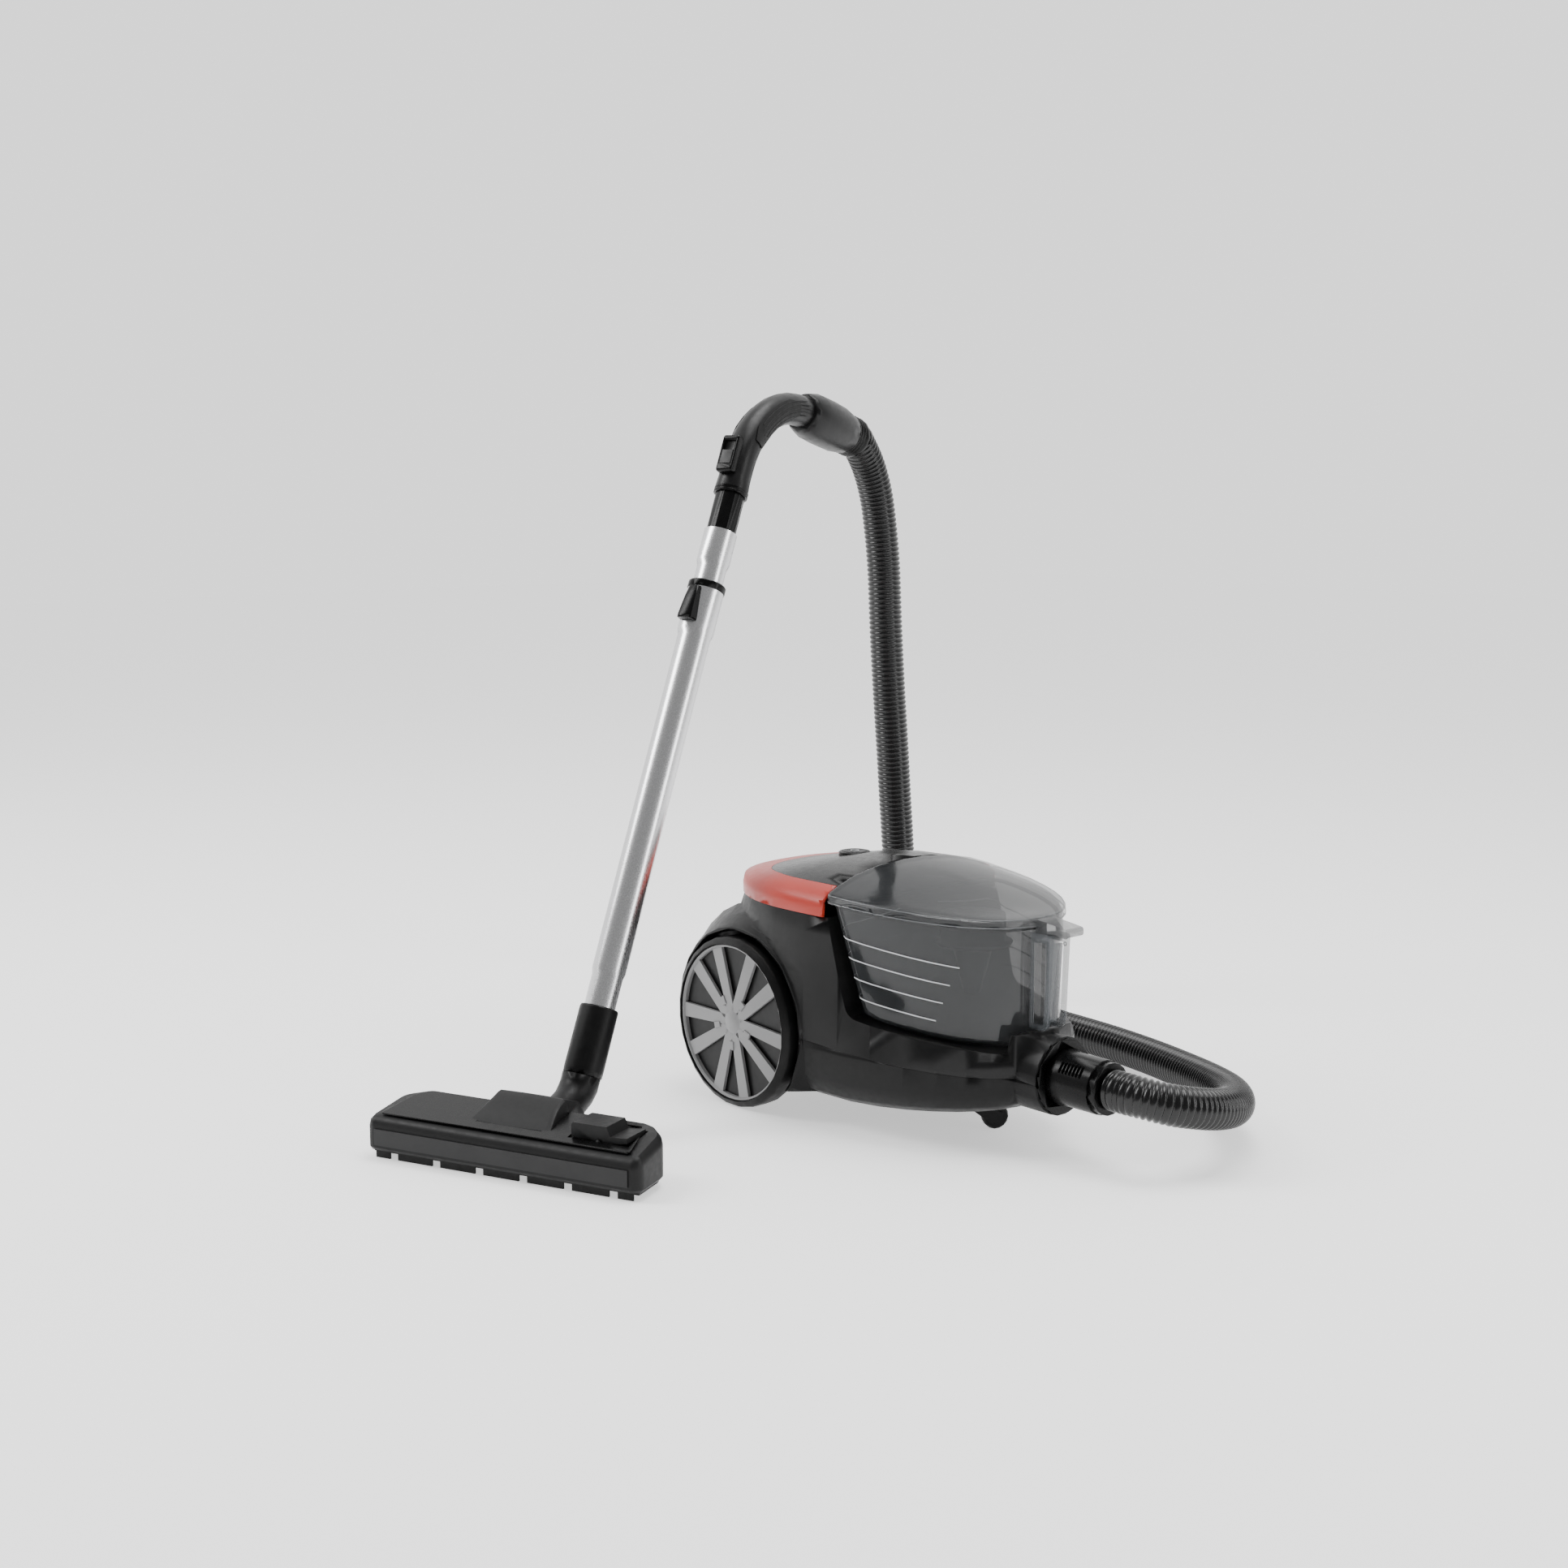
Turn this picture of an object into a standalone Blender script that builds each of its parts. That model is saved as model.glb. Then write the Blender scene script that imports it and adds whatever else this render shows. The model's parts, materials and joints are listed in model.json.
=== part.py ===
"""Bagless canister vacuum cleaner with hose, telescopic wand and floor head, parked with the wand standing up.

Units are metres, +Z is up. The machine is modelled with +X towards the hose inlet and the floor point under the
middle of the rear axle as zero, and one last move puts the model on its own origin.
"""
import math

import bmesh
import bpy
import numpy as np
from mathutils import Matrix, Vector

# Clearances
TOUCH = 0.0003            # gap between pieces that rest on each other
RUN = 0.0006              # gap around pieces that turn or slide
WALL = 0.003              # moulded wall of the machine
CLEAR_WALL = 0.0025       # wall of the clear mouldings
FINENESS = 0.60           # share of the sides that round shapes ask for

# Machine body: plan outlines are egg-shaped, widest at BODY_WIDEST
BODY_REAR = 0.079         # at the shoulder; the back bulges out below it
BODY_FRONT = 0.320
BODY_HALF_WIDTH = 0.1255
BODY_WIDEST = 0.070
BODY_ROUNDNESS = 2.3      # 2 would be an ellipse
REAR_ROUNDNESS = 2.08
REAR_BULGE = 0.022
BODY_BOTTOM = 0.0275
SHOULDER = 0.2195         # top edge of the housing, where the trim band starts
FENDER = 0.0035           # thickness of the arch over a wheel
FENDER_REACH = 0.0220     # how far the flare above it spreads
FENDER_DEPTH = 0.0335
SEAM_AT_AXLE = 0.0955     # joint line between chassis and housing
SEAM_FALL = 0.055         # how much that line falls towards the front, per metre

# Rear wheels and castor
WHEEL_RADIUS = 0.0900
WHEEL_OUTER_FACE = 0.1390
WHEEL_WIDTH = 0.029
TYRE_DEPTH = 0.0075
WHEEL_ROOM = 0.006        # space between tyre and wheel arch
AXLE_RADIUS = 0.004
HUBCAP_THICKNESS = 0.005
SPOKE_PAIRS = 5
CASTOR_X = 0.222
CASTOR_RADIUS = 0.0135
CASTOR_WIDTH = 0.013
CASTOR_TRAIL = 0.020
CASTOR_HEADING = math.radians(61)

# Dust container, its bay and lid
BAY_REAR_TOP = (0.1270, 0.2360)
BAY_REAR_FOOT = (0.160, 0.1235)
BAY_FRONT_FOOT = (0.2985, 0.1045)
BIN_GAP = 0.0008
BIN_HALF_WIDTH = 0.1215
BIN_TAPER = 0.05          # how much narrower the container gets per metre of depth
BIN_FRONT = 0.3045
BIN_RIM_REAR = 0.2340
BIN_RIM_FALL = 0.067      # how much the rim falls towards the front, per metre
BIN_CORNER = 0.014
LID_RIM_HEIGHT = 0.0095
LID_OVERHANG = 0.0022
LID_TOP = 0.2660          # at its rear, where it meets the top cover
LID_NOSE_TOP = 0.2275
DOME_REACH = 0.115        # from the edge of a domed top to its middle
DOME_POWER = 2.2
BIN_LIFT = 0.12

# Grip on the container front
GRIP_WIDTH = 0.026
GRIP_BAR = 0.006
GRIP_REACH = 0.026

# Trim band and top cover
BAND_CORNER = 0.2370
BAND_TOP = 0.2490
BAND_REAR_DROP = 0.0050   # how much lower its inner edge is behind
BAND_SIDE_WIDTH = 0.020
BAND_REAR_WIDTH = 0.042
COVER_TOP_FRONT = 0.2670
COVER_TOP_REAR = 0.2460
BUTTON_X = 0.040
BUTTON_RADIUS = 0.0135
BUTTON_TRAVEL = 0.003

# Hose inlet
INLET_HEIGHT = 0.080
INLET_RADIUS = 0.039
INLET_FACE = 0.338
INLET_BACK = 0.3128
CUFF_RADIUS = 0.028
CUFF_END = 0.400
PLUG_RADIUS = 0.0235

# Motor and fan
MOTOR_X = (-0.046, 0.066)
MOTOR_HEIGHT = 0.151
MOTOR_RADIUS = 0.050
SHAFT_RADIUS = 0.004
ROTOR_RADIUS = 0.024
FAN_RADIUS = 0.044

# Cord reel
REEL_X = 0.020
REEL_RADIUS = 0.060
REEL_HEIGHT = 0.034
REEL_POST = 0.008

# Floor head: x runs along it, y to its back, zero on the floor in the middle of its front
HEAD_AT = (0.0420, -0.4545)
HEAD_YAW = math.radians(22.5)
HEAD_LENGTH = 0.308
HEAD_DEPTH = 0.074
HEAD_FRONT_HEIGHT = 0.040
HEAD_BACK_HEIGHT = 0.054
HEAD_SKIRT = 0.008
HEAD_WALL = 0.003
BRUSH_THICKNESS = 0.002
BRUSH_LIFT = 0.007
PITCH_BACK = 0.083        # the neck's hinge, behind the front edge
PITCH_HEIGHT = 0.034
HINGE_DRUM = 0.019
NECK_SEAM = (0.150, 0.0625)
NECK_BORE = 0.0150
NECK_RADIUS = 0.0195
PEDAL_AT = (0.100, 0.036)
PEDAL_TILT = math.radians(10)

# Wand, seen from the neck seam upwards along its own axis
WAND_HEADING = math.radians(107)
WAND_LEAN = math.radians(25.3)
SOCKET_LENGTH = 0.070
TUBE_RADIUS = 0.0175
TUBE_WALL = 0.0009
TUBE_NECK_RADIUS = 0.0160
TUBE_NECK_AT = 0.102
SLEEVE_RADIUS = 0.0194
SLEEVE_FROM = 0.468
TUBE_TOP = 0.528
INNER_RADIUS = 0.0158
INNER_FOOT = 0.120
INNER_SLEEVE_RADIUS = 0.0178
INNER_SLEEVE_FROM = 0.552
INNER_TOP = 0.587
SPIGOT_RADIUS = 0.0158
COLLAR_AT = 0.636
TUBE_TRAVEL = 0.30

# Handle: a short straight, an arc, then the hose sleeve
HANDLE_STRAIGHT = 0.025
HANDLE_BEND = 0.115
HANDLE_TURN = math.radians(78.2)
HANDLE_RADIUS = 0.0175
HANDLE_WALL = 0.003
HOSE_SLEEVE_LENGTH = 0.092
HOSE_SLEEVE_RADIUS = 0.0265
SWIVEL_COLLAR_LENGTH = 0.022
SWIVEL_COLLAR_RADIUS = 0.0235

# Hose
HOSE_RADIUS = 0.020
HOSE_ROUTE = [
    (0.430, 0.004, 0.0785), (0.452, 0.024, 0.072), (0.462, 0.062, 0.063),
    (0.455, 0.104, 0.054), (0.432, 0.146, 0.046), (0.395, 0.187, 0.039), (0.345, 0.222, 0.033),
    (0.285, 0.252, 0.028), (0.215, 0.278, 0.0245), (0.140, 0.296, 0.0225), (0.060, 0.306, 0.0215),
    (-0.020, 0.309, 0.0225), (-0.085, 0.308, 0.0310), (-0.140, 0.306, 0.0560), (-0.181, 0.303, 0.1010),
    (-0.2015, 0.300, 0.160), (-0.2030, 0.292, 0.240), (-0.1985, 0.281, 0.320), (-0.1945, 0.270, 0.400),
    (-0.1920, 0.262, 0.475), (-0.1900, 0.256, 0.5447), (-0.1872, 0.2475, 0.5920), (-0.1838, 0.2365, 0.6320),
    (-0.1790, 0.2195, 0.6650),
]


# ---------------------------------------------------------------- scene and objects

def clear_scene():
    for old in list(bpy.data.objects):
        bpy.data.objects.remove(old, do_unlink=True)


def make_material(name, colour, roughness=0.5, metallic=0.0, alpha=1.0):
    material = bpy.data.materials.new(name)
    material.use_nodes = True
    shader = material.node_tree.nodes["Principled BSDF"]
    shader.inputs["Base Color"].default_value = (*colour, 1.0)
    shader.inputs["Roughness"].default_value = roughness
    shader.inputs["Metallic"].default_value = metallic
    shader.inputs["Alpha"].default_value = alpha
    return material


def add_empty(name, place, parent=None):
    empty = bpy.data.objects.new(name, None)
    empty.empty_display_size = 0.02
    bpy.context.scene.collection.objects.link(empty)
    empty.parent = parent
    empty.location = place
    return empty


def add_piece(name, shape, material, pivot=(0, 0, 0), smooth=38, corners=4):
    """Turns a finished bmesh into the object of one sub-part, with its origin at pivot."""
    bmesh.ops.remove_doubles(shape, verts=shape.verts, dist=2e-6)
    bmesh.ops.dissolve_limit(shape, angle_limit=math.radians(0.06), verts=shape.verts, edges=shape.edges)
    bmesh.ops.triangulate(shape, faces=[f for f in shape.faces if len(f.verts) > corners], ngon_method='EAR_CLIP')
    bmesh.ops.recalc_face_normals(shape, faces=shape.faces)
    bmesh.ops.translate(shape, verts=shape.verts, vec=-Vector(pivot))
    mesh = bpy.data.meshes.new(name)
    shape.to_mesh(mesh)
    shape.free()
    mesh.materials.append(material)
    mesh.shade_smooth()
    mesh.set_sharp_from_angle(angle=math.radians(smooth))
    piece = bpy.data.objects.new(name, mesh)
    bpy.context.scene.collection.objects.link(piece)
    piece.parent = VACUUM
    piece.location = pivot
    return piece


# ---------------------------------------------------------------- shapes

def lofted(rings):
    """A closed body through rings of equally many points, with a flat cap at each end."""
    shape = bmesh.new()
    rows = [[shape.verts.new(point) for point in ring] for ring in rings]
    count = len(rows[0])
    for low, high in zip(rows, rows[1:]):
        for i in range(count):
            j = (i + 1) % count
            shape.faces.new((low[i], low[j], high[j], high[i]))
    shape.faces.new(rows[0][::-1])
    shape.faces.new(rows[-1])
    bmesh.ops.recalc_face_normals(shape, faces=shape.faces)
    return shape


def turned(profile, centre, axis, steps=32):
    """Turns a closed outline of (radius, distance along the axis) around an axis."""
    steps = max(12, 4 * round(steps * FINENESS / 4))
    z = Vector(axis).normalized()
    x = z.orthogonal().normalized()
    y = z.cross(x)
    shape = bmesh.new()
    rows = []
    for radius, along in profile:
        middle = Vector(centre) + z * along
        if radius < 1e-7:
            rows.append([shape.verts.new(middle)])
            continue
        turns = [2 * math.pi * k / steps for k in range(steps)]
        rows.append([shape.verts.new(middle + radius * (x * math.cos(a) + y * math.sin(a))) for a in turns])
    for here, there in zip(rows, rows[1:] + rows[:1]):
        if len(here) == 1 and len(there) == 1:
            continue
        for i in range(steps):
            j = (i + 1) % steps
            ring = (here[i % len(here)], here[j % len(here)], there[j % len(there)], there[i % len(there)])
            shape.faces.new(list(dict.fromkeys(ring)))
    bmesh.ops.recalc_face_normals(shape, faces=shape.faces)
    return shape


def rod(start, end, radius, steps=24):
    """A plain round bar between two points."""
    start, end = Vector(start), Vector(end)
    length = (end - start).length
    return turned([(0, 0), (radius, 0), (radius, length), (0, length)], start, end - start, steps)


def sleeve(start, end, outer, inner, steps=24):
    """A plain round tube between two points."""
    start, end = Vector(start), Vector(end)
    length = (end - start).length
    return turned([(inner, 0), (outer, 0), (outer, length), (inner, length)], start, end - start, steps)


def block(low, high, bevel=0.0, segments=2):
    """An upright box between two corners, with rounded edges."""
    low, high = Vector(low), Vector(high)
    shape = bmesh.new()
    bmesh.ops.create_cube(shape, size=1.0)
    size = high - low
    bmesh.ops.scale(shape, vec=size, verts=shape.verts)
    bmesh.ops.translate(shape, vec=(low + high) / 2, verts=shape.verts)
    if bevel:
        bmesh.ops.bevel(shape, geom=shape.edges[:], offset=bevel, segments=segments, profile=0.5, affect='EDGES')
    return shape


def prism(outline, direction, start, end):
    """Pushes a flat outline of 3-D points along a direction, from start to end."""
    direction = Vector(direction).normalized()
    return lofted([[Vector(p) + direction * d for p in outline] for d in (start, end)])


def swept(path, sections, side):
    """Lofts a flat section along a path. A section's points are (across, up), and side is the across direction."""
    rings = []
    path = [Vector(p) for p in path]
    side = Vector(side).normalized()
    for i, middle in enumerate(path):
        ahead = (path[min(i + 1, len(path) - 1)] - path[max(i - 1, 0)]).normalized()
        up = side.cross(ahead).normalized()
        across = ahead.cross(up).normalized()
        rings.append([middle + across * a + up * b for a, b in sections[i]])
    return lofted(rings)


def circle(radius, count, start=0.0):
    return [(radius * math.cos(start + 2 * math.pi * k / count), radius * math.sin(start + 2 * math.pi * k / count))
            for k in range(count)]


def rounded(points, radii, steps=4):
    """Replaces the corners of a flat outline with arcs. A radius of 0 keeps the corner."""
    result = []
    count = len(points)
    for i, corner in enumerate(points):
        corner = Vector(corner)
        radius = radii[i]
        if radius <= 0:
            result.append(tuple(corner))
            continue
        back = (Vector(points[i - 1]) - corner).normalized()
        ahead = (Vector(points[(i + 1) % count]) - corner).normalized()
        angle = back.angle(ahead)
        reach = radius / math.tan(angle / 2)
        centre = corner + (back + ahead).normalized() * (radius / math.sin(angle / 2))
        start = corner + back * reach - centre
        end = corner + ahead * reach - centre
        sweep = start.angle(end)
        for k in range(steps + 1):
            part = k / steps
            spoke = (start * math.sin((1 - part) * sweep) + end * math.sin(part * sweep)) / math.sin(sweep)
            result.append(tuple(centre + spoke))
    return result


def combined(first, second, how):
    """One body from two: 'UNION', 'DIFFERENCE' or 'INTERSECT'."""
    pair = []
    for shape in (first, second):
        bmesh.ops.triangulate(shape, faces=shape.faces)
        bmesh.ops.recalc_face_normals(shape, faces=shape.faces)
        mesh = bpy.data.meshes.new("tool")
        shape.to_mesh(mesh)
        shape.free()
        tool = bpy.data.objects.new("tool", mesh)
        bpy.context.scene.collection.objects.link(tool)
        pair.append(tool)
    body, tool = pair
    step = body.modifiers.new("step", 'BOOLEAN')
    step.operation = how
    step.solver = 'EXACT'
    step.object = tool
    bpy.context.view_layer.update()
    evaluated = body.evaluated_get(bpy.context.evaluated_depsgraph_get())
    result = bmesh.new()
    result.from_mesh(evaluated.to_mesh())
    evaluated.to_mesh_clear()
    for used in pair:
        bpy.data.objects.remove(used, do_unlink=True)
    return result


def cut(shape, *tools):
    for tool in tools:
        shape = combined(shape, tool, 'DIFFERENCE')
    return shape


def joined(shape, *others):
    for other in others:
        shape = combined(shape, other, 'UNION')
    return shape


def halved(shape, point, normal):
    """Keeps what lies behind a plane."""
    turn = normal.to_track_quat('Z', 'Y').to_matrix().to_4x4()
    return cut(shape, placed(block((-1, -1, 0), (1, 1, 1)), Matrix.Translation(point) @ turn))


def placed(shape, frame):
    shape.transform(frame)
    return shape


def smooth_curve(points, count):
    """Evenly spaced points on one smooth curve through the given ones."""
    nodes = np.array(points, float)
    gaps = np.linalg.norm(np.diff(nodes, axis=0), axis=1) ** 0.5
    knots = np.concatenate([[0.0], np.cumsum(gaps)])
    slopes = np.gradient(nodes, knots, axis=0)
    fine = []
    for i in range(len(nodes) - 1):
        span = knots[i + 1] - knots[i]
        for t in np.linspace(0, 1, 24, endpoint=False):
            a = 2 * t**3 - 3 * t**2 + 1
            b = t**3 - 2 * t**2 + t
            c = -2 * t**3 + 3 * t**2
            d = t**3 - t**2
            fine.append(a * nodes[i] + b * span * slopes[i] + c * nodes[i + 1] + d * span * slopes[i + 1])
    fine.append(nodes[-1])
    fine = np.array(fine)
    run = np.concatenate([[0.0], np.cumsum(np.linalg.norm(np.diff(fine, axis=0), axis=1))])
    even = np.linspace(0, run[-1], count)
    return [Vector([np.interp(s, run, fine[:, k]) for k in range(3)]) for s in even]


# ---------------------------------------------------------------- frames of the main groups

def heading(angle):
    return Vector((math.cos(angle), math.sin(angle), 0))


def head_frame():
    return Matrix.Translation((*HEAD_AT, 0)) @ Matrix.Rotation(HEAD_YAW, 4, 'Z')


def neck_point():
    return head_frame() @ Vector((0, *NECK_SEAM))


def wand_direction():
    return heading(WAND_HEADING) * math.sin(WAND_LEAN) + Vector((0, 0, math.cos(WAND_LEAN)))


def wand_side():
    """The sideways direction of wand and handle, level with the floor."""
    return heading(WAND_HEADING - math.pi / 2)


def on_wand(along):
    return neck_point() + wand_direction() * along


def wand_front():
    """Square to the wand and away from the handle's bow."""
    return wand_side().cross(wand_direction()).normalized()


def handle_path(extra=0.0):
    """Centre points of the handle from its collar to the start of the hose sleeve."""
    along = heading(WAND_HEADING)
    up = Vector((0, 0, 1))
    start = on_wand(COLLAR_AT)
    bend = start + wand_direction() * HANDLE_STRAIGHT
    climb = math.pi / 2 - WAND_LEAN
    points = [start, start + wand_direction() * HANDLE_STRAIGHT * 0.5]
    steps = 10
    for k in range(steps + 1):
        slope = climb - HANDLE_TURN * k / steps
        across = HANDLE_BEND * (math.sin(climb) - math.sin(slope))
        rise = HANDLE_BEND * (math.cos(slope) - math.cos(climb))
        points.append(bend + along * across + up * rise)
    return points


def sleeve_direction():
    slope = math.pi / 2 - WAND_LEAN - HANDLE_TURN
    return heading(WAND_HEADING) * math.cos(slope) + Vector((0, 0, math.sin(slope)))


# ---------------------------------------------------------------- machine body

def egg_point(turn, front, rear, half_width):
    """A point of the egg-shaped plan outline, as (x, y)."""
    c, s = math.cos(turn), math.sin(turn)
    reach = (front - BODY_WIDEST) if c > 0 else (rear + BODY_WIDEST)
    power = 2 / (BODY_ROUNDNESS if c > 0 else REAR_ROUNDNESS)
    x = BODY_WIDEST + math.copysign(abs(c) ** power * reach, c)
    return x, math.copysign(abs(s) ** power * half_width, s)


def egg(front, rear, half_width, height, count=36):
    """A plan outline at a height given as a function of x."""
    points = [egg_point(2 * math.pi * (k + 0.5) / count, front, rear, half_width) for k in range(count)]
    return [(x, y, height(x)) for x, y in points]


def underside(x):
    return BODY_BOTTOM + 0.014 * max(0.0, (x - 0.14) / 0.16) ** 1.3


def body_solid(inset, floor_gap, top, count=36):
    """The whole body from its underside to a top level, drawn in by inset."""
    belt = 0.115
    rings = []
    for part, tuck in ((0.0, 0.030), (0.10, 0.014), (0.30, 0.0045), (0.62, 0.0), (1.0, 0.0)):
        def height(x, part=part):
            low = underside(x) + floor_gap
            return low + (belt - low) * part
        draw = tuck + inset
        rear = BODY_REAR + REAR_BULGE - draw
        rings.append(egg(BODY_FRONT - draw, rear, BODY_HALF_WIDTH - draw, height, count))
    for part, tuck, bulge in ((0.4, 0.0, 0.92), (0.65, 0.0005, 0.7), (0.83, 0.001, 0.4), (1.0, 0.0025, 0.0)):
        level = belt + (SHOULDER - belt) * part
        draw = tuck + inset
        rear = BODY_REAR + REAR_BULGE * bulge - draw
        rings.append(egg(BODY_FRONT - draw, rear, BODY_HALF_WIDTH - draw, lambda x, level=level: level, count))
    if top > SHOULDER:
        rings.append([(x, y, top) for x, y, z in rings[-1]])
    return lofted(rings)


def wheel_well(room, inner_face):
    radius = WHEEL_RADIUS + room
    return [rod((0, side * inner_face, WHEEL_RADIUS), (0, side * 0.2, WHEEL_RADIUS), radius, 40) for side in (1, -1)]


def wheel_arch(side):
    """The bulge over a wheel, cut off level below."""
    radius = WHEEL_RADIUS + WHEEL_ROOM + FENDER
    face = BODY_HALF_WIDTH + 0.002
    inner = face - FENDER_DEPTH
    profile = [(0, inner - 0.02), (radius + FENDER_REACH * 0.5, inner - 0.02), (radius + FENDER_REACH, inner),
               (radius + FENDER_REACH * 0.46, inner + FENDER_DEPTH * 0.5), (radius + FENDER_REACH * 0.16, face - 0.006),
               (radius, face - 0.001), (radius - 0.001, face), (0, face)]
    arch = turned(profile, (0, 0, WHEEL_RADIUS), (0, side, 0), 44)
    slope = [(0.24, 0, -0.1), (-0.24, 0, -0.1), (-0.24, 0, 0.09), (0.0, 0, BODY_BOTTOM + 0.004), (0.24, 0, BODY_BOTTOM + 0.004)]
    return cut(arch, prism(slope, (0, 1, 0), -0.2, 0.2))


def bay_outline(grow):
    """Side outline of the container bay, as (x, z): it is open above and in front."""
    sky = 0.40
    step = INLET_HEIGHT + INLET_RADIUS + 0.0025
    corners = [(BAY_REAR_TOP[0] - grow, sky), (BAY_REAR_TOP[0] - grow, BAY_REAR_TOP[1]),
               (BAY_REAR_FOOT[0] - grow, BAY_REAR_FOOT[1] - grow),
               (BAY_FRONT_FOOT[0] + 0.009, BAY_FRONT_FOOT[1] - 0.001 - grow),
               (BAY_FRONT_FOOT[0] + 0.011, step - grow), (0.45, step - grow), (0.45, sky)]
    return rounded(corners, [0, 0, 0.016 + grow, 0, 0, 0, 0], 5)


def bay_solid(grow):
    return prism([(x, 0, z) for x, z in bay_outline(grow)], (0, 1, 0), -0.2, 0.2)


def inlet_hump(radius, start, face):
    return rod((start, 0, INLET_HEIGHT), (face, 0, INLET_HEIGHT), radius, 36)


def seam_plane(shift):
    normal = Vector((SEAM_FALL, 0, 1)).normalized()
    return Vector((0, 0, SEAM_AT_AXLE)) + normal * shift, normal


def body_shell():
    """Chassis and housing as one hollow moulding, before they are split at the seam."""
    well_face = WHEEL_OUTER_FACE - WHEEL_WIDTH - 0.004
    outside = joined(body_solid(0, 0, SHOULDER), inlet_hump(INLET_RADIUS, 0.25, INLET_FACE), wheel_arch(1), wheel_arch(-1))
    outside = cut(outside, bay_solid(0), *wheel_well(WHEEL_ROOM, well_face))
    cavity = cut(body_solid(WALL, WALL, SHOULDER + 0.02, 24), bay_solid(WALL), *wheel_well(WHEEL_ROOM + WALL, well_face - WALL))
    return cut(outside, cavity)


def make_body(skins):
    shell = body_shell()
    bore = rod((INLET_BACK - TOUCH, 0, INLET_HEIGHT), (INLET_FACE + 0.01, 0, INLET_HEIGHT), INLET_RADIUS - WALL - 0.002, 36)
    axle = rod((0, -0.16, WHEEL_RADIUS), (0, 0.16, WHEEL_RADIUS), AXLE_RADIUS + TOUCH, 16)
    vent = block((-0.14, -0.046, 0.118), (-0.06, 0.046, 0.172))
    outlet = rod((-0.12, 0.0597, 0.1351), (-0.05, 0.0597, 0.1351), 0.009, 20)
    port = rod((0.09, 0, 0.165), (0.2, 0, 0.165), 0.026, 28)
    shell = cut(shell, bore, axle, vent, outlet, port)
    upper = shell.copy()
    chassis = halved(shell, *seam_plane(-TOUCH / 2))
    point, normal = seam_plane(TOUCH / 2)
    upper = halved(upper, point, -normal)
    post_foot = BODY_BOTTOM + WALL - 0.001
    post = rod((REEL_X, 0, post_foot), (REEL_X, 0, post_foot + REEL_HEIGHT + 0.008), REEL_POST, 20)
    castor_foot = underside(CASTOR_X) + 0.001
    socket = rod((CASTOR_X, 0, castor_foot - 0.004), (CASTOR_X, 0, castor_foot + 0.014), 0.010, 20)
    chassis = joined(chassis, post, socket)
    chassis = cut(chassis, rod((CASTOR_X, 0, 0.01), (CASTOR_X, 0, castor_foot + 0.010), 0.004 + RUN, 16))
    add_piece("chassis", chassis, skins["chassis"])
    add_piece("upper_housing", upper, skins["housing"])


def band_edge(x):
    """Height of the band's inner edge, which falls behind."""
    return BAND_TOP - BAND_REAR_DROP * min(1.0, max(0.0, (0.03 - x) / 0.07))


def cover_rear():
    return BODY_REAR - BAND_REAR_WIDTH


def make_band(skins):
    """The painted U of trim around the rear of the top edge."""
    steps = 34
    foot = SHOULDER + TOUCH
    limit = BAY_REAR_TOP[0] - TOUCH
    sections = []
    for k in range(steps + 1):
        turn = math.radians(60) + math.radians(240) * k / steps
        outer = Vector((*egg_point(turn, BODY_FRONT, BODY_REAR, BODY_HALF_WIDTH), 0))
        inner = Vector((*egg_point(turn, BODY_FRONT, cover_rear(), BODY_HALF_WIDTH - BAND_SIDE_WIDTH), 0))
        across = inner - outer
        edge = band_edge(inner.x)
        section = []
        for part, z in ((0.16, foot), (0.012, foot), (0.0, (foot + BAND_CORNER) / 2), (0.06, BAND_CORNER),
                        (0.5, BAND_CORNER + (edge - BAND_CORNER) * 0.66), (1.0, edge), (1.0, edge - 0.003),
                        (0.5, BAND_CORNER + (edge - BAND_CORNER) * 0.66 - 0.003), (0.2, BAND_CORNER - 0.003)):
            point = outer + across * part
            point.z = z
            section.append(point)
        sections.append(section)
    add_piece("trim_band", cut(lofted(sections), block((limit, -0.3, 0), (0.5, 0.3, 0.5))), skins["band"])


def dome_part(inset):
    """How far up a domed top is, at a distance from its edge."""
    return 1 - (1 - min(1.0, inset / DOME_REACH)) ** DOME_POWER


def cover_middle(x):
    """Height of the cover along its middle."""
    part = max(0.0, (BAY_REAR_TOP[0] - x) / (BAY_REAR_TOP[0] + cover_rear()))
    return COVER_TOP_FRONT - (COVER_TOP_FRONT - COVER_TOP_REAR) * part ** 1.6


def cover_ring(inset, raise_to=None):
    ring = []
    limit = BAY_REAR_TOP[0] - TOUCH
    for k in range(36):
        turn = 2 * math.pi * (k + 0.5) / 36
        half = BODY_HALF_WIDTH - BAND_SIDE_WIDTH - TOUCH - inset
        x, y = egg_point(turn, BODY_FRONT - TOUCH, cover_rear() - TOUCH - inset, half)
        x = min(x, limit)
        edge = band_edge(x)
        z = edge + (cover_middle(x) - edge) * dome_part(inset) if raise_to is None else edge + raise_to
        ring.append((x, y, z))
    return ring


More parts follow.
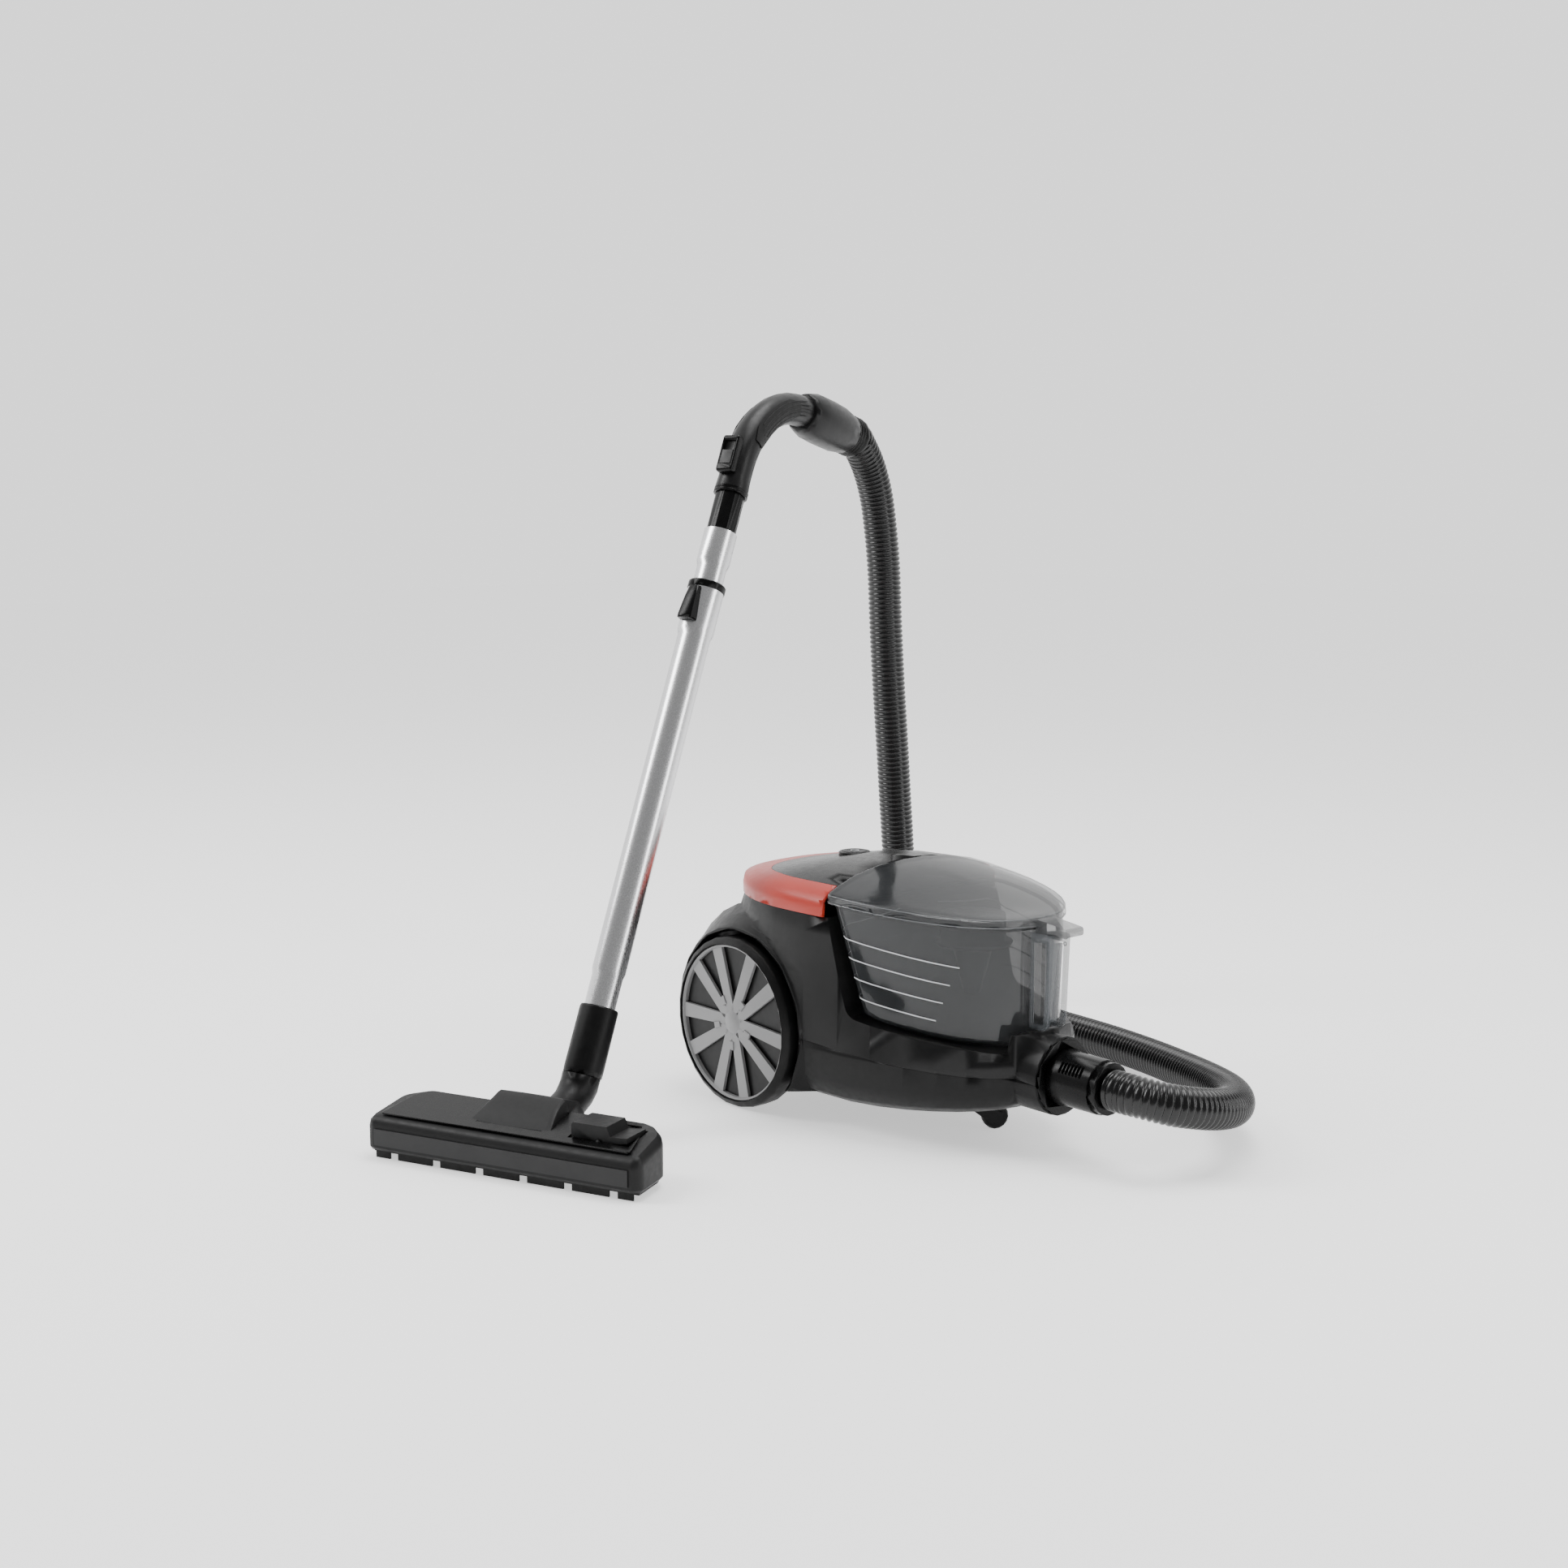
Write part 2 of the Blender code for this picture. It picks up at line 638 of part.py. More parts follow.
def make_cover(skins):
    rings = [cover_ring(0, -0.0035)] + [cover_ring(inset) for inset in (0, 0.010, 0.026, 0.048, 0.074, 0.100)]
    rim = BUTTON_RADIUS + 0.004
    well = rod((BUTTON_X, 0, 0.2), (BUTTON_X, 0, 0.3), rim, 28)
    add_piece("top_cover", cut(lofted(rings), well), skins["gloss"])
    rim -= TOUCH
    top = cover_middle(BUTTON_X) + 0.0015
    profile = [(BUTTON_RADIUS + RUN, top - 0.014), (rim, top - 0.014), (rim, top - 0.001), (rim - 0.001, top),
               (BUTTON_RADIUS + RUN, top)]
    add_piece("button_bezel", turned(profile, (BUTTON_X, 0, 0), (0, 0, 1), 28), skins["gloss"])
    board_top = band_edge(-cover_rear()) - 0.006
    switch_top = board_top + 0.0035
    head = top + 0.0008
    profile = [(0, switch_top + BUTTON_TRAVEL + RUN), (0.004, switch_top + BUTTON_TRAVEL + RUN), (0.004, head - 0.008),
               (BUTTON_RADIUS, head - 0.008), (BUTTON_RADIUS, head - 0.001), (BUTTON_RADIUS - 0.001, head),
               (0.009, head - 0.0008), (0, head - 0.0012)]
    add_piece("power_button", turned(profile, (BUTTON_X, 0, 0), (0, 0, 1), 28), skins["button"],
              pivot=(BUTTON_X, 0, head - 0.004))
    add_piece("control_board", block((BUTTON_X - 0.03, -0.022, board_top - 0.0016), (BUTTON_X + 0.03, 0.022, board_top)),
              skins["board"])
    add_piece("power_switch", block((BUTTON_X - 0.004, -0.004, board_top + TOUCH), (BUTTON_X + 0.004, 0.004, switch_top)),
              skins["board"])


# ---------------------------------------------------------------- wheels and castor

def wheel_profile():
    outer = WHEEL_OUTER_FACE
    inner = WHEEL_OUTER_FACE - WHEEL_WIDTH
    rim = WHEEL_RADIUS - TYRE_DEPTH
    dish = outer - 0.009
    return [(AXLE_RADIUS + RUN, inner), (rim - 0.006, inner), (WHEEL_RADIUS - 0.004, inner),
            (WHEEL_RADIUS, inner + 0.004), (WHEEL_RADIUS, outer - 0.007), (WHEEL_RADIUS - 0.0015, outer - 0.003),
            (rim + 0.001, outer), (rim, outer - 0.0005), (rim, dish), (AXLE_RADIUS + RUN, dish)]


def make_wheels(skins):
    for name, side in (("right", -1), ("left", 1)):
        pivot = (0, side * (WHEEL_OUTER_FACE - WHEEL_WIDTH / 2), WHEEL_RADIUS)
        centre = (0, 0, WHEEL_RADIUS)
        add_piece(f"wheel_{name}", turned(wheel_profile(), centre, (0, side, 0), 44), skins["tyre"], pivot)
        cap_radius = WHEEL_RADIUS - TYRE_DEPTH - TOUCH
        back = WHEEL_OUTER_FACE - 0.009 + TOUCH
        front = back + HUBCAP_THICKNESS
        profile = [(0, back), (cap_radius, back), (cap_radius, front + 0.0015), (cap_radius - 0.003, front + 0.002),
                   (cap_radius - 0.004, front), (0.022, front), (0.012, front + 0.0015), (0, front + 0.002)]
        cap = turned(profile, centre, (0, side, 0), 44)
        for k in range(SPOKE_PAIRS):
            middle = 2 * math.pi * k / SPOKE_PAIRS + math.pi / 2
            for lean, low, high in ((0.0, 0.030, cap_radius - 0.006), (math.pi / SPOKE_PAIRS, 0.036, cap_radius - 0.006)):
                window = []
                spread = 0.14
                for radius, angle in ((low, 0.0), (high, -spread), (high, spread)):
                    a = middle + lean + angle
                    window.append((radius * math.cos(a), 0, WHEEL_RADIUS + radius * math.sin(a)))
                cap = cut(cap, prism(window, (0, side, 0), 0.09, 0.16))
        add_piece(f"hubcap_{name}", cap, skins["silver"], pivot)
    axle_end = WHEEL_OUTER_FACE - 0.0095
    axle = rod((0, -axle_end, WHEEL_RADIUS), (0, axle_end, WHEEL_RADIUS), AXLE_RADIUS, 16)
    add_piece("rear_axle", axle, skins["steel"])


def make_castor(skins):
    top = underside(CASTOR_X) - 0.004
    plate = top - 0.003
    trail = heading(CASTOR_HEADING) * CASTOR_TRAIL
    pivot = Vector((CASTOR_X, 0, plate))
    hub = Vector((CASTOR_X, 0, 0)) + trail
    side = heading(CASTOR_HEADING + math.pi / 2)
    frame = Matrix.Translation((CASTOR_X, 0, 0)) @ Matrix.Rotation(CASTOR_HEADING, 4, 'Z')
    fork = turned([(0, plate - 0.002), (0.0085, plate - 0.002), (0.0145, plate), (0.0145, top - TOUCH),
                   (0.004, top - TOUCH), (0.004, top + 0.012), (0, top + 0.012)], (CASTOR_X, 0, 0), (0, 0, 1), 24)
    half = CASTOR_WIDTH / 2 + RUN
    for hand in (1, -1):
        near, far = sorted((hand * half, hand * (half + 0.0025)))
        arm = prism([(-0.010, near, plate - 0.001), (CASTOR_TRAIL - 0.006, near, CASTOR_RADIUS - 0.006),
                     (CASTOR_TRAIL + 0.006, near, CASTOR_RADIUS - 0.006), (CASTOR_TRAIL + 0.006, near, CASTOR_RADIUS + 0.004),
                     (0.011, near, plate - 0.001)], (0, 1, 0), 0, far - near)
        fork = joined(fork, placed(arm, frame))
    pin_a = hub - side * (half + 0.002) + Vector((0, 0, CASTOR_RADIUS))
    pin_b = hub + side * (half + 0.002) + Vector((0, 0, CASTOR_RADIUS))
    fork = joined(fork, rod(pin_a, pin_b, 0.0022, 12))
    add_piece("castor_fork", fork, skins["chassis"], pivot)
    centre = hub + Vector((0, 0, CASTOR_RADIUS))
    w = CASTOR_WIDTH / 2
    profile = [(0.0022 + RUN / 2, -w), (CASTOR_RADIUS - 0.002, -w), (CASTOR_RADIUS, -w + 0.003),
               (CASTOR_RADIUS, w - 0.003), (CASTOR_RADIUS - 0.002, w), (0.0022 + RUN / 2, w)]
    add_piece("castor_wheel", turned(profile, centre, side, 28), skins["tyre"], centre)


# ---------------------------------------------------------------- dust container

def bay_rear(z):
    """Where the bay's rear wall is at a height: it slopes, and stands upright above the container's rim."""
    top, foot = BAY_REAR_TOP, BAY_REAR_FOOT
    if z >= top[1]:
        return top[0]
    return foot[0] + (foot[1] - z) * (foot[0] - top[0]) / (top[1] - foot[1])


def bay_floor(x):
    slope = (BAY_FRONT_FOOT[1] - BAY_REAR_FOOT[1]) / (BAY_FRONT_FOOT[0] - BAY_REAR_FOOT[0])
    return BAY_REAR_FOOT[1] + slope * (x - BAY_REAR_FOOT[0])


def rim_height(x):
    return BIN_RIM_REAR - BIN_RIM_FALL * (x - BAY_REAR_TOP[0])


def nose_outline(rear, front, half_width, corner, count=20):
    """Plan outline of the container: straight across its rear, round at its nose."""
    widest = BODY_WIDEST + 0.02
    start = math.acos(max(-1.0, min(1.0, (rear - widest) / (front - widest))))
    points = []
    for k in range(count + 1):
        turn = -start + 2 * start * k / count
        c, s = math.cos(turn), math.sin(turn)
        x = widest + abs(c) ** 0.92 * (front - widest)
        points.append((x, math.copysign(abs(s) ** 0.92 * half_width, s)))
    points[0] = (rear, points[0][1])
    points[-1] = (rear, points[-1][1])
    return rounded(points, [corner] + [0] * (count - 1) + [corner], 3)


def bin_ring(part, inset, lift=0.0):
    """A level of the container wall, from part 0 at its floor to 1 at its rim."""
    middle = 0.5 * (BAY_REAR_FOOT[0] + BAY_FRONT_FOOT[0])
    mean = bay_floor(middle) + part * (rim_height(middle) - bay_floor(middle))
    depth = rim_height(middle) - mean
    outline = nose_outline(bay_rear(mean) + BIN_GAP + inset, BIN_FRONT - inset,
                           BIN_HALF_WIDTH - BIN_TAPER * depth - inset, max(0.003, BIN_CORNER - inset / 2))
    ring = []
    for x, y in outline:
        low = bay_floor(x) + BIN_GAP
        ring.append((x, y, low + part * (rim_height(x) - low) + lift))
    return ring


def lid_middle(x):
    """Height of the lid along its middle."""
    part = max(0.0, (x - BAY_REAR_TOP[0]) / (BIN_FRONT - BAY_REAR_TOP[0]))
    return LID_TOP - (LID_TOP - LID_NOSE_TOP) * part ** 1.35


def lid_ring(inset, wall, level=None):
    """A level of the lid. Its rear stands upright along the top cover, and its sides and nose draw in."""
    outline = nose_outline(BAY_REAR_TOP[0] + BIN_GAP + wall, BIN_FRONT + LID_OVERHANG - inset - wall,
                           BIN_HALF_WIDTH + LID_OVERHANG - inset - wall, max(0.002, BIN_CORNER / 2 - inset / 8))
    ring = []
    for x, y in outline:
        edge = rim_height(x) + LID_RIM_HEIGHT
        if level is not None:
            z = rim_height(x) + level
        else:
            z = edge + (lid_middle(x) - edge) * dome_part(inset) - wall
        ring.append((x, y, z))
    return ring


def lid_hinge():
    return Vector((BAY_REAR_TOP[0] + BIN_GAP, 0, LID_TOP))


def make_container(skins):
    walls = [bin_ring(p, 0.0) for p in (0.05, 0.35, 0.68, 1.0)]
    inside = [bin_ring(p, CLEAR_WALL) for p in (1.0, 0.68, 0.35, 0.05)]
    floor = bin_ring(0.0, 0.009, CLEAR_WALL)
    add_piece("dust_container", lofted([bin_ring(0.0, 0.006)] + walls + inside + [floor]), skins["clear"])

    insets = (0.0035, 0.016, 0.040, 0.072, 0.108)
    under = [lid_ring(i, CLEAR_WALL) for i in insets[::-1]] + [lid_ring(0.0035, CLEAR_WALL, TOUCH)]
    outside = [lid_ring(0, 0, TOUCH), lid_ring(0, 0, LID_RIM_HEIGHT * 0.8)] + [lid_ring(i, 0) for i in insets]
    add_piece("container_lid", strip_capped(under + outside), skins["clear"], lid_hinge(), corners=3)

    rings = []
    for inset, lift in ((0.0024, -0.004), (0.0012, -0.001), (0.0035, -0.001), (0.0046, -0.004)):
        rings.append(bin_ring(1.0, CLEAR_WALL + inset, lift))
    add_piece("lid_seal", ring_body(rings), skins["rubber"], lid_hinge())


def strip_capped(rings):
    """A closed body through symmetric rings, each end closed with strips from side to side."""
    shape = bmesh.new()
    rows = [[shape.verts.new(p) for p in ring] for ring in rings]
    count = len(rows[0])
    for low, high in zip(rows, rows[1:]):
        for i in range(count):
            j = (i + 1) % count
            shape.faces.new((low[i], low[j], high[j], high[i]))
    for row in (rows[0][::-1], rows[-1]):
        for i in range(count // 2 - (count + 1) % 2):
            ring = (row[i], row[i + 1], row[count - 2 - i], row[count - 1 - i])
            shape.faces.new(list(dict.fromkeys(ring)))
    bmesh.ops.recalc_face_normals(shape, faces=shape.faces)
    return shape


def ring_body(rings):
    """A closed band: rings joined in a loop, last back to first."""
    shape = bmesh.new()
    rows = [[shape.verts.new(p) for p in ring] for ring in rings]
    count = len(rows[0])
    for here, there in zip(rows, rows[1:] + rows[:1]):
        for i in range(count):
            j = (i + 1) % count
            shape.faces.new((here[i], here[j], there[j], there[i]))
    bmesh.ops.recalc_face_normals(shape, faces=shape.faces)
    return shape


# ---------------------------------------------------------------- grip and release button of the container

def make_grip(skins):
    reach = BIN_FRONT + GRIP_REACH
    foot = INLET_HEIGHT + INLET_RADIUS + 0.0045
    top = rim_height(BIN_FRONT) - 0.004
    start = BIN_FRONT + TOUCH
    outer = [(start, foot), (reach - 0.004, foot), (reach, foot + 0.02), (reach + 0.003, top), (start, top)]
    outer = rounded(outer, [0, 0.010, 0.02, 0.004, 0], 4)
    inner_face = reach - GRIP_BAR
    inner = [(start + 0.003, foot + GRIP_BAR), (inner_face - 0.004, foot + GRIP_BAR), (inner_face, foot + 0.02),
             (inner_face + 0.003, top - 0.008), (start + 0.003, top - 0.008)]
    inner = rounded(inner, [0.003, 0.008, 0.018, 0.006, 0.003], 4)
    half = GRIP_WIDTH / 2
    grip = prism([(x, 0, z) for x, z in outer], (0, 1, 0), -half, half)
    hole = prism([(x, 0, z) for x, z in inner], (0, 1, 0), -half - 0.01, half + 0.01)
    add_piece("container_grip", cut(grip, hole), skins["clear"])
    low = top + TOUCH
    tab = [(start + 0.006, low), (reach + 0.020, low), (reach + 0.020, low + 0.0085), (start + 0.006, low + 0.0135)]
    tab = prism([(x, 0, z) for x, z in rounded(tab, [0, 0.003, 0.003, 0.002], 3)], (0, 1, 0), -half + 0.001, half - 0.001)
    add_piece("release_button", tab, skins["clear"], pivot=(reach, 0, low + 0.005))


def make_cyclone(skins):
    """The cone and filters inside the container."""
    x, foot = 0.215, bay_floor(0.215) + BIN_GAP + CLEAR_WALL
    profile = [(0, foot + 0.020), (0.008, foot + 0.020), (0.020, foot + 0.068), (0.020, foot + 0.070), (0, foot + 0.070)]
    add_piece("cyclone_cone", turned(profile, (x, 0, 0), (0, 0, 1), 28), skins["smoke"])
    skirt = foot + 0.070 + TOUCH
    high = rim_height(x + 0.04) - 0.004
    profile = [(0.014, skirt), (0.036, skirt), (0.040, skirt + 0.003), (0.040, skirt + 0.005), (0.033, skirt + 0.006),
               (0.033, high), (0.014, high)]
    add_piece("cylinder_filter", turned(profile, (x, 0, 0), (0, 0, 1), 36), skins["smoke"])


# ---------------------------------------------------------------- hose inlet

def make_inlet(skins):
    centre = (0, 0, INLET_HEIGHT)
    bore = INLET_RADIUS - WALL - 0.002
    back = INLET_BACK
    step = INLET_BACK + 0.006
    mouth = CUFF_RADIUS + RUN
    profile = [(PLUG_RADIUS + RUN, back), (bore - TOUCH, back), (bore - TOUCH, INLET_FACE), (bore + 0.003, INLET_FACE + TOUCH),
               (bore + 0.003, INLET_FACE + 0.003), (mouth, INLET_FACE + 0.003), (mouth, step), (PLUG_RADIUS + RUN, step)]
    add_piece("inlet_socket", turned(profile, centre, (1, 0, 0), 36), skins["gloss"])
    shoulder = step + RUN
    ring = CUFF_END - 0.009
    profile = [(0.0185, back + 0.002), (PLUG_RADIUS, back + 0.002), (PLUG_RADIUS, shoulder), (CUFF_RADIUS, shoulder),
               (CUFF_RADIUS, INLET_FACE + 0.010), (CUFF_RADIUS - 0.0012, INLET_FACE + 0.014),
               (CUFF_RADIUS - 0.0012, ring), (0.0185, ring)]
    add_piece("hose_cuff", turned(profile, centre, (1, 0, 0), 32), skins["gloss"], pivot=(INLET_FACE, 0, INLET_HEIGHT))
    profile = [(0.0175, ring + TOUCH), (CUFF_RADIUS - 0.0025, ring + TOUCH), (CUFF_RADIUS - 0.0025, CUFF_END - 0.001),
               (CUFF_RADIUS - 0.0035, CUFF_END), (0.0175, CUFF_END)]
    add_piece("cuff_ring", turned(profile, centre, (1, 0, 0), 32), skins["gloss"], pivot=(INLET_FACE, 0, INLET_HEIGHT))


# ---------------------------------------------------------------- inside the machine

def make_motor(skins):
    centre = (0, 0, MOTOR_HEIGHT)
    axis = (1, 0, 0)
    rear, front = MOTOR_X
    bore = MOTOR_RADIUS - 0.0035
    fan_room = front - 0.020
    hole = SHAFT_RADIUS + RUN
    profile = [(hole, rear), (MOTOR_RADIUS, rear), (MOTOR_RADIUS, fan_room), (bore, fan_room), (bore, rear + 0.0035),
               (hole, rear + 0.0035)]
    add_piece("motor_housing", turned(profile, centre, axis, 32), skins["zinc"])
    profile = [(ROTOR_RADIUS + 0.002, rear + 0.012), (bore - TOUCH, rear + 0.012), (bore - TOUCH, rear + 0.050),
               (ROTOR_RADIUS + 0.002, rear + 0.050)]
    add_piece("motor_stator", turned(profile, centre, axis, 32), skins["zinc"])
    profile = [(0, rear - 0.002), (SHAFT_RADIUS, rear - 0.002), (SHAFT_RADIUS, rear + 0.008), (0.012, rear + 0.009),
               (0.012, rear + 0.013), (ROTOR_RADIUS, rear + 0.014), (ROTOR_RADIUS, rear + 0.048), (SHAFT_RADIUS, rear + 0.049),
               (SHAFT_RADIUS, front - 0.003), (0, front - 0.003)]
    pivot = (rear + 0.031, 0, MOTOR_HEIGHT)
    add_piece("motor_armature", turned(profile, centre, axis, 28), skins["steel"], pivot)
    hub = SHAFT_RADIUS + TOUCH
    profile = [(hub, front - 0.018), (FAN_RADIUS, front - 0.018), (FAN_RADIUS, front - 0.0165), (0.010, front - 0.0165),
               (0.008, front - 0.006), (hub, front - 0.006)]
    fan = turned(profile, centre, axis, 32)
    for k in range(7):
        turn = Matrix.Translation(centre) @ Matrix.Rotation(2 * math.pi * k / 7, 4, 'X') @ Matrix.Translation((0, 0, 0))
        blade = block((front - 0.017, 0.007, -0.0009), (front - 0.009, FAN_RADIUS - 0.003, 0.0009))
        fan = joined(fan, placed(blade, turn))
    add_piece("fan_impeller", fan, skins["zinc"], pivot)
    profile = [(0.016, front - 0.003), (bore, front - 0.003), (bore, fan_room + TOUCH), (MOTOR_RADIUS, fan_room + TOUCH),
               (MOTOR_RADIUS, front), (0.016, front)]
    add_piece("fan_shroud", turned(profile, centre, axis, 32), skins["zinc"])
    profile = [(0, front + 0.0065), (0.047, front + 0.0065), (0.047, front + 0.016), (0, front + 0.016)]
    add_piece("motor_filter", turned(profile, centre, axis, 28), skins["foam"])


def make_exhaust(skins):
    low, high, half = 0.118, 0.172, 0.046
    face = -(BODY_REAR + REAR_BULGE * 0.92 - 0.0055)
    gap = TOUCH * 2
    grille = block((face, -half + gap, low + gap), (face + 0.003, half - gap, high - gap))
    slots = 9
    for k in range(slots):
        z = low + (high - low) * (k + 1) / (slots + 1)
        grille = cut(grille, block((face - 0.01, -half + 0.006, z - 0.0013), (face + 0.01, half - 0.006, z + 0.0013)))
    add_piece("exhaust_grille", grille, skins["chassis"])
    add_piece("exhaust_filter", block((face + 0.003 + TOUCH, -half + 0.003, low + 0.003), (face + 0.014, half - 0.003, high - 0.003),
                                      0.001, 1), skins["foam"])
    profile = [(0.004, -0.0910), (0.0105, -0.0910), (0.0105, -0.0885), (0.009 - TOUCH, -0.0885), (0.009 - TOUCH, -0.066),
               (0.004, -0.066)]
    add_piece("cord_outlet", turned(profile, (0, 0.0597, 0.1351), (1, 0, 0), 20), skins["gloss"])


def make_reel(skins):
    low = BODY_BOTTOM + WALL + 0.006
    hub = REEL_POST + RUN
    core = REEL_RADIUS * 0.5
    profile = [(hub, low), (REEL_RADIUS, low), (REEL_RADIUS, low + 0.002), (core, low + 0.002),
               (core, low + REEL_HEIGHT - 0.002), (REEL_RADIUS, low + REEL_HEIGHT - 0.002), (REEL_RADIUS, low + REEL_HEIGHT),
               (hub, low + REEL_HEIGHT)]
    add_piece("cord_drum", turned(profile, (REEL_X, 0, 0), (0, 0, 1), 32), skins["board"], pivot=(REEL_X, 0, low))


# ---------------------------------------------------------------- wand

def on_axis(profile, start, direction, steps=28):
    return turned(profile, start, direction, steps)


def make_wand(skins):
    foot = neck_point()
    axis = wand_direction()
    profile = [(NECK_BORE, RUN), (0.0198, RUN), (0.0202, 0.006), (0.0198, SOCKET_LENGTH - 0.002), (0.0190, SOCKET_LENGTH),
               (TUBE_NECK_RADIUS + TOUCH, SOCKET_LENGTH), (TUBE_NECK_RADIUS + TOUCH, 0.020), (NECK_BORE, 0.020)]
    add_piece("neck_socket", turned(profile, foot, axis, 32), skins["chassis"])
    outline = [(TUBE_NECK_RADIUS, 0.0205), (TUBE_NECK_RADIUS, TUBE_NECK_AT), (TUBE_RADIUS, TUBE_NECK_AT + 0.006),
               (TUBE_RADIUS, SLEEVE_FROM), (SLEEVE_RADIUS, SLEEVE_FROM + 0.006), (SLEEVE_RADIUS, TUBE_TOP - 0.008)]
    profile = outline + [(r - TUBE_WALL, a) for r, a in outline[::-1]]
    add_piece("outer_tube", turned(profile, foot, axis, 32), skins["steel"])
    low = TUBE_TOP - 0.008 + TOUCH
    profile = [(INNER_RADIUS + RUN, low), (SLEEVE_RADIUS + 0.0008, low), (SLEEVE_RADIUS + 0.0008, TUBE_TOP - 0.001),
               (SLEEVE_RADIUS, TUBE_TOP), (INNER_RADIUS + RUN, TUBE_TOP)]
    add_piece("lock_ring", turned(profile, foot, axis, 32), skins["gloss"])
    outline = [(INNER_RADIUS, INNER_FOOT), (INNER_RADIUS, INNER_SLEEVE_FROM - 0.006), (INNER_SLEEVE_RADIUS, INNER_SLEEVE_FROM),
               (INNER_SLEEVE_RADIUS, INNER_TOP)]
    profile = outline + [(r - TUBE_WALL, a) for r, a in outline[::-1]]
    add_piece("inner_tube", turned(profile, foot, axis, 32), skins["steel"])
    side, front = wand_side(), wand_front()
    base = SLEEVE_RADIUS + RUN
    rings = []
    for along, half, rise in ((0.481, 0.0098, 0.0085), (0.485, 0.0098, 0.0088), (0.505, 0.0078, 0.0066), (0.5185, 0.0066, 0.0030)):
        middle = on_wand(along) + front * base
        drop = base - math.sqrt(base * base - half * half)
        rings.append([middle - side * half - front * drop, middle - side * half * 0.86 + front * rise * 0.75,
                      middle - side * half * 0.45 + front * rise, middle + side * half * 0.45 + front * rise,
                      middle + side * half * 0.86 + front * rise * 0.75, middle + side * half - front * drop,
                      middle + side * half * 0.5 + front * TOUCH, middle - side * half * 0.5 + front * TOUCH])
    latch = lofted(rings)
    latch = cut(latch, rod(on_wand(0.47), on_wand(0.53), base, 48))
    add_piece("tube_latch", latch, skins["gloss"], pivot=on_wand(0.5) + front * base)


# ---------------------------------------------------------------- handle

def pipe_along(path, outer, inner, side, last, count=16):
    """A hollow pipe along a path, with its radii given for every point and the direction it ends in."""
    rings = []
    for radii in (outer, inner):
        row = []
        for i, middle in enumerate(path):
            ahead = last if i == len(path) - 1 else (path[i + 1] - path[max(i - 1, 0)]).normalized()
            up = side.cross(ahead).normalized()
            row.append([middle + side * a + up * b for a, b in circle(radii[i], count)])
        rings.append(row)
    return ring_body(rings[0] + rings[1][::-1])


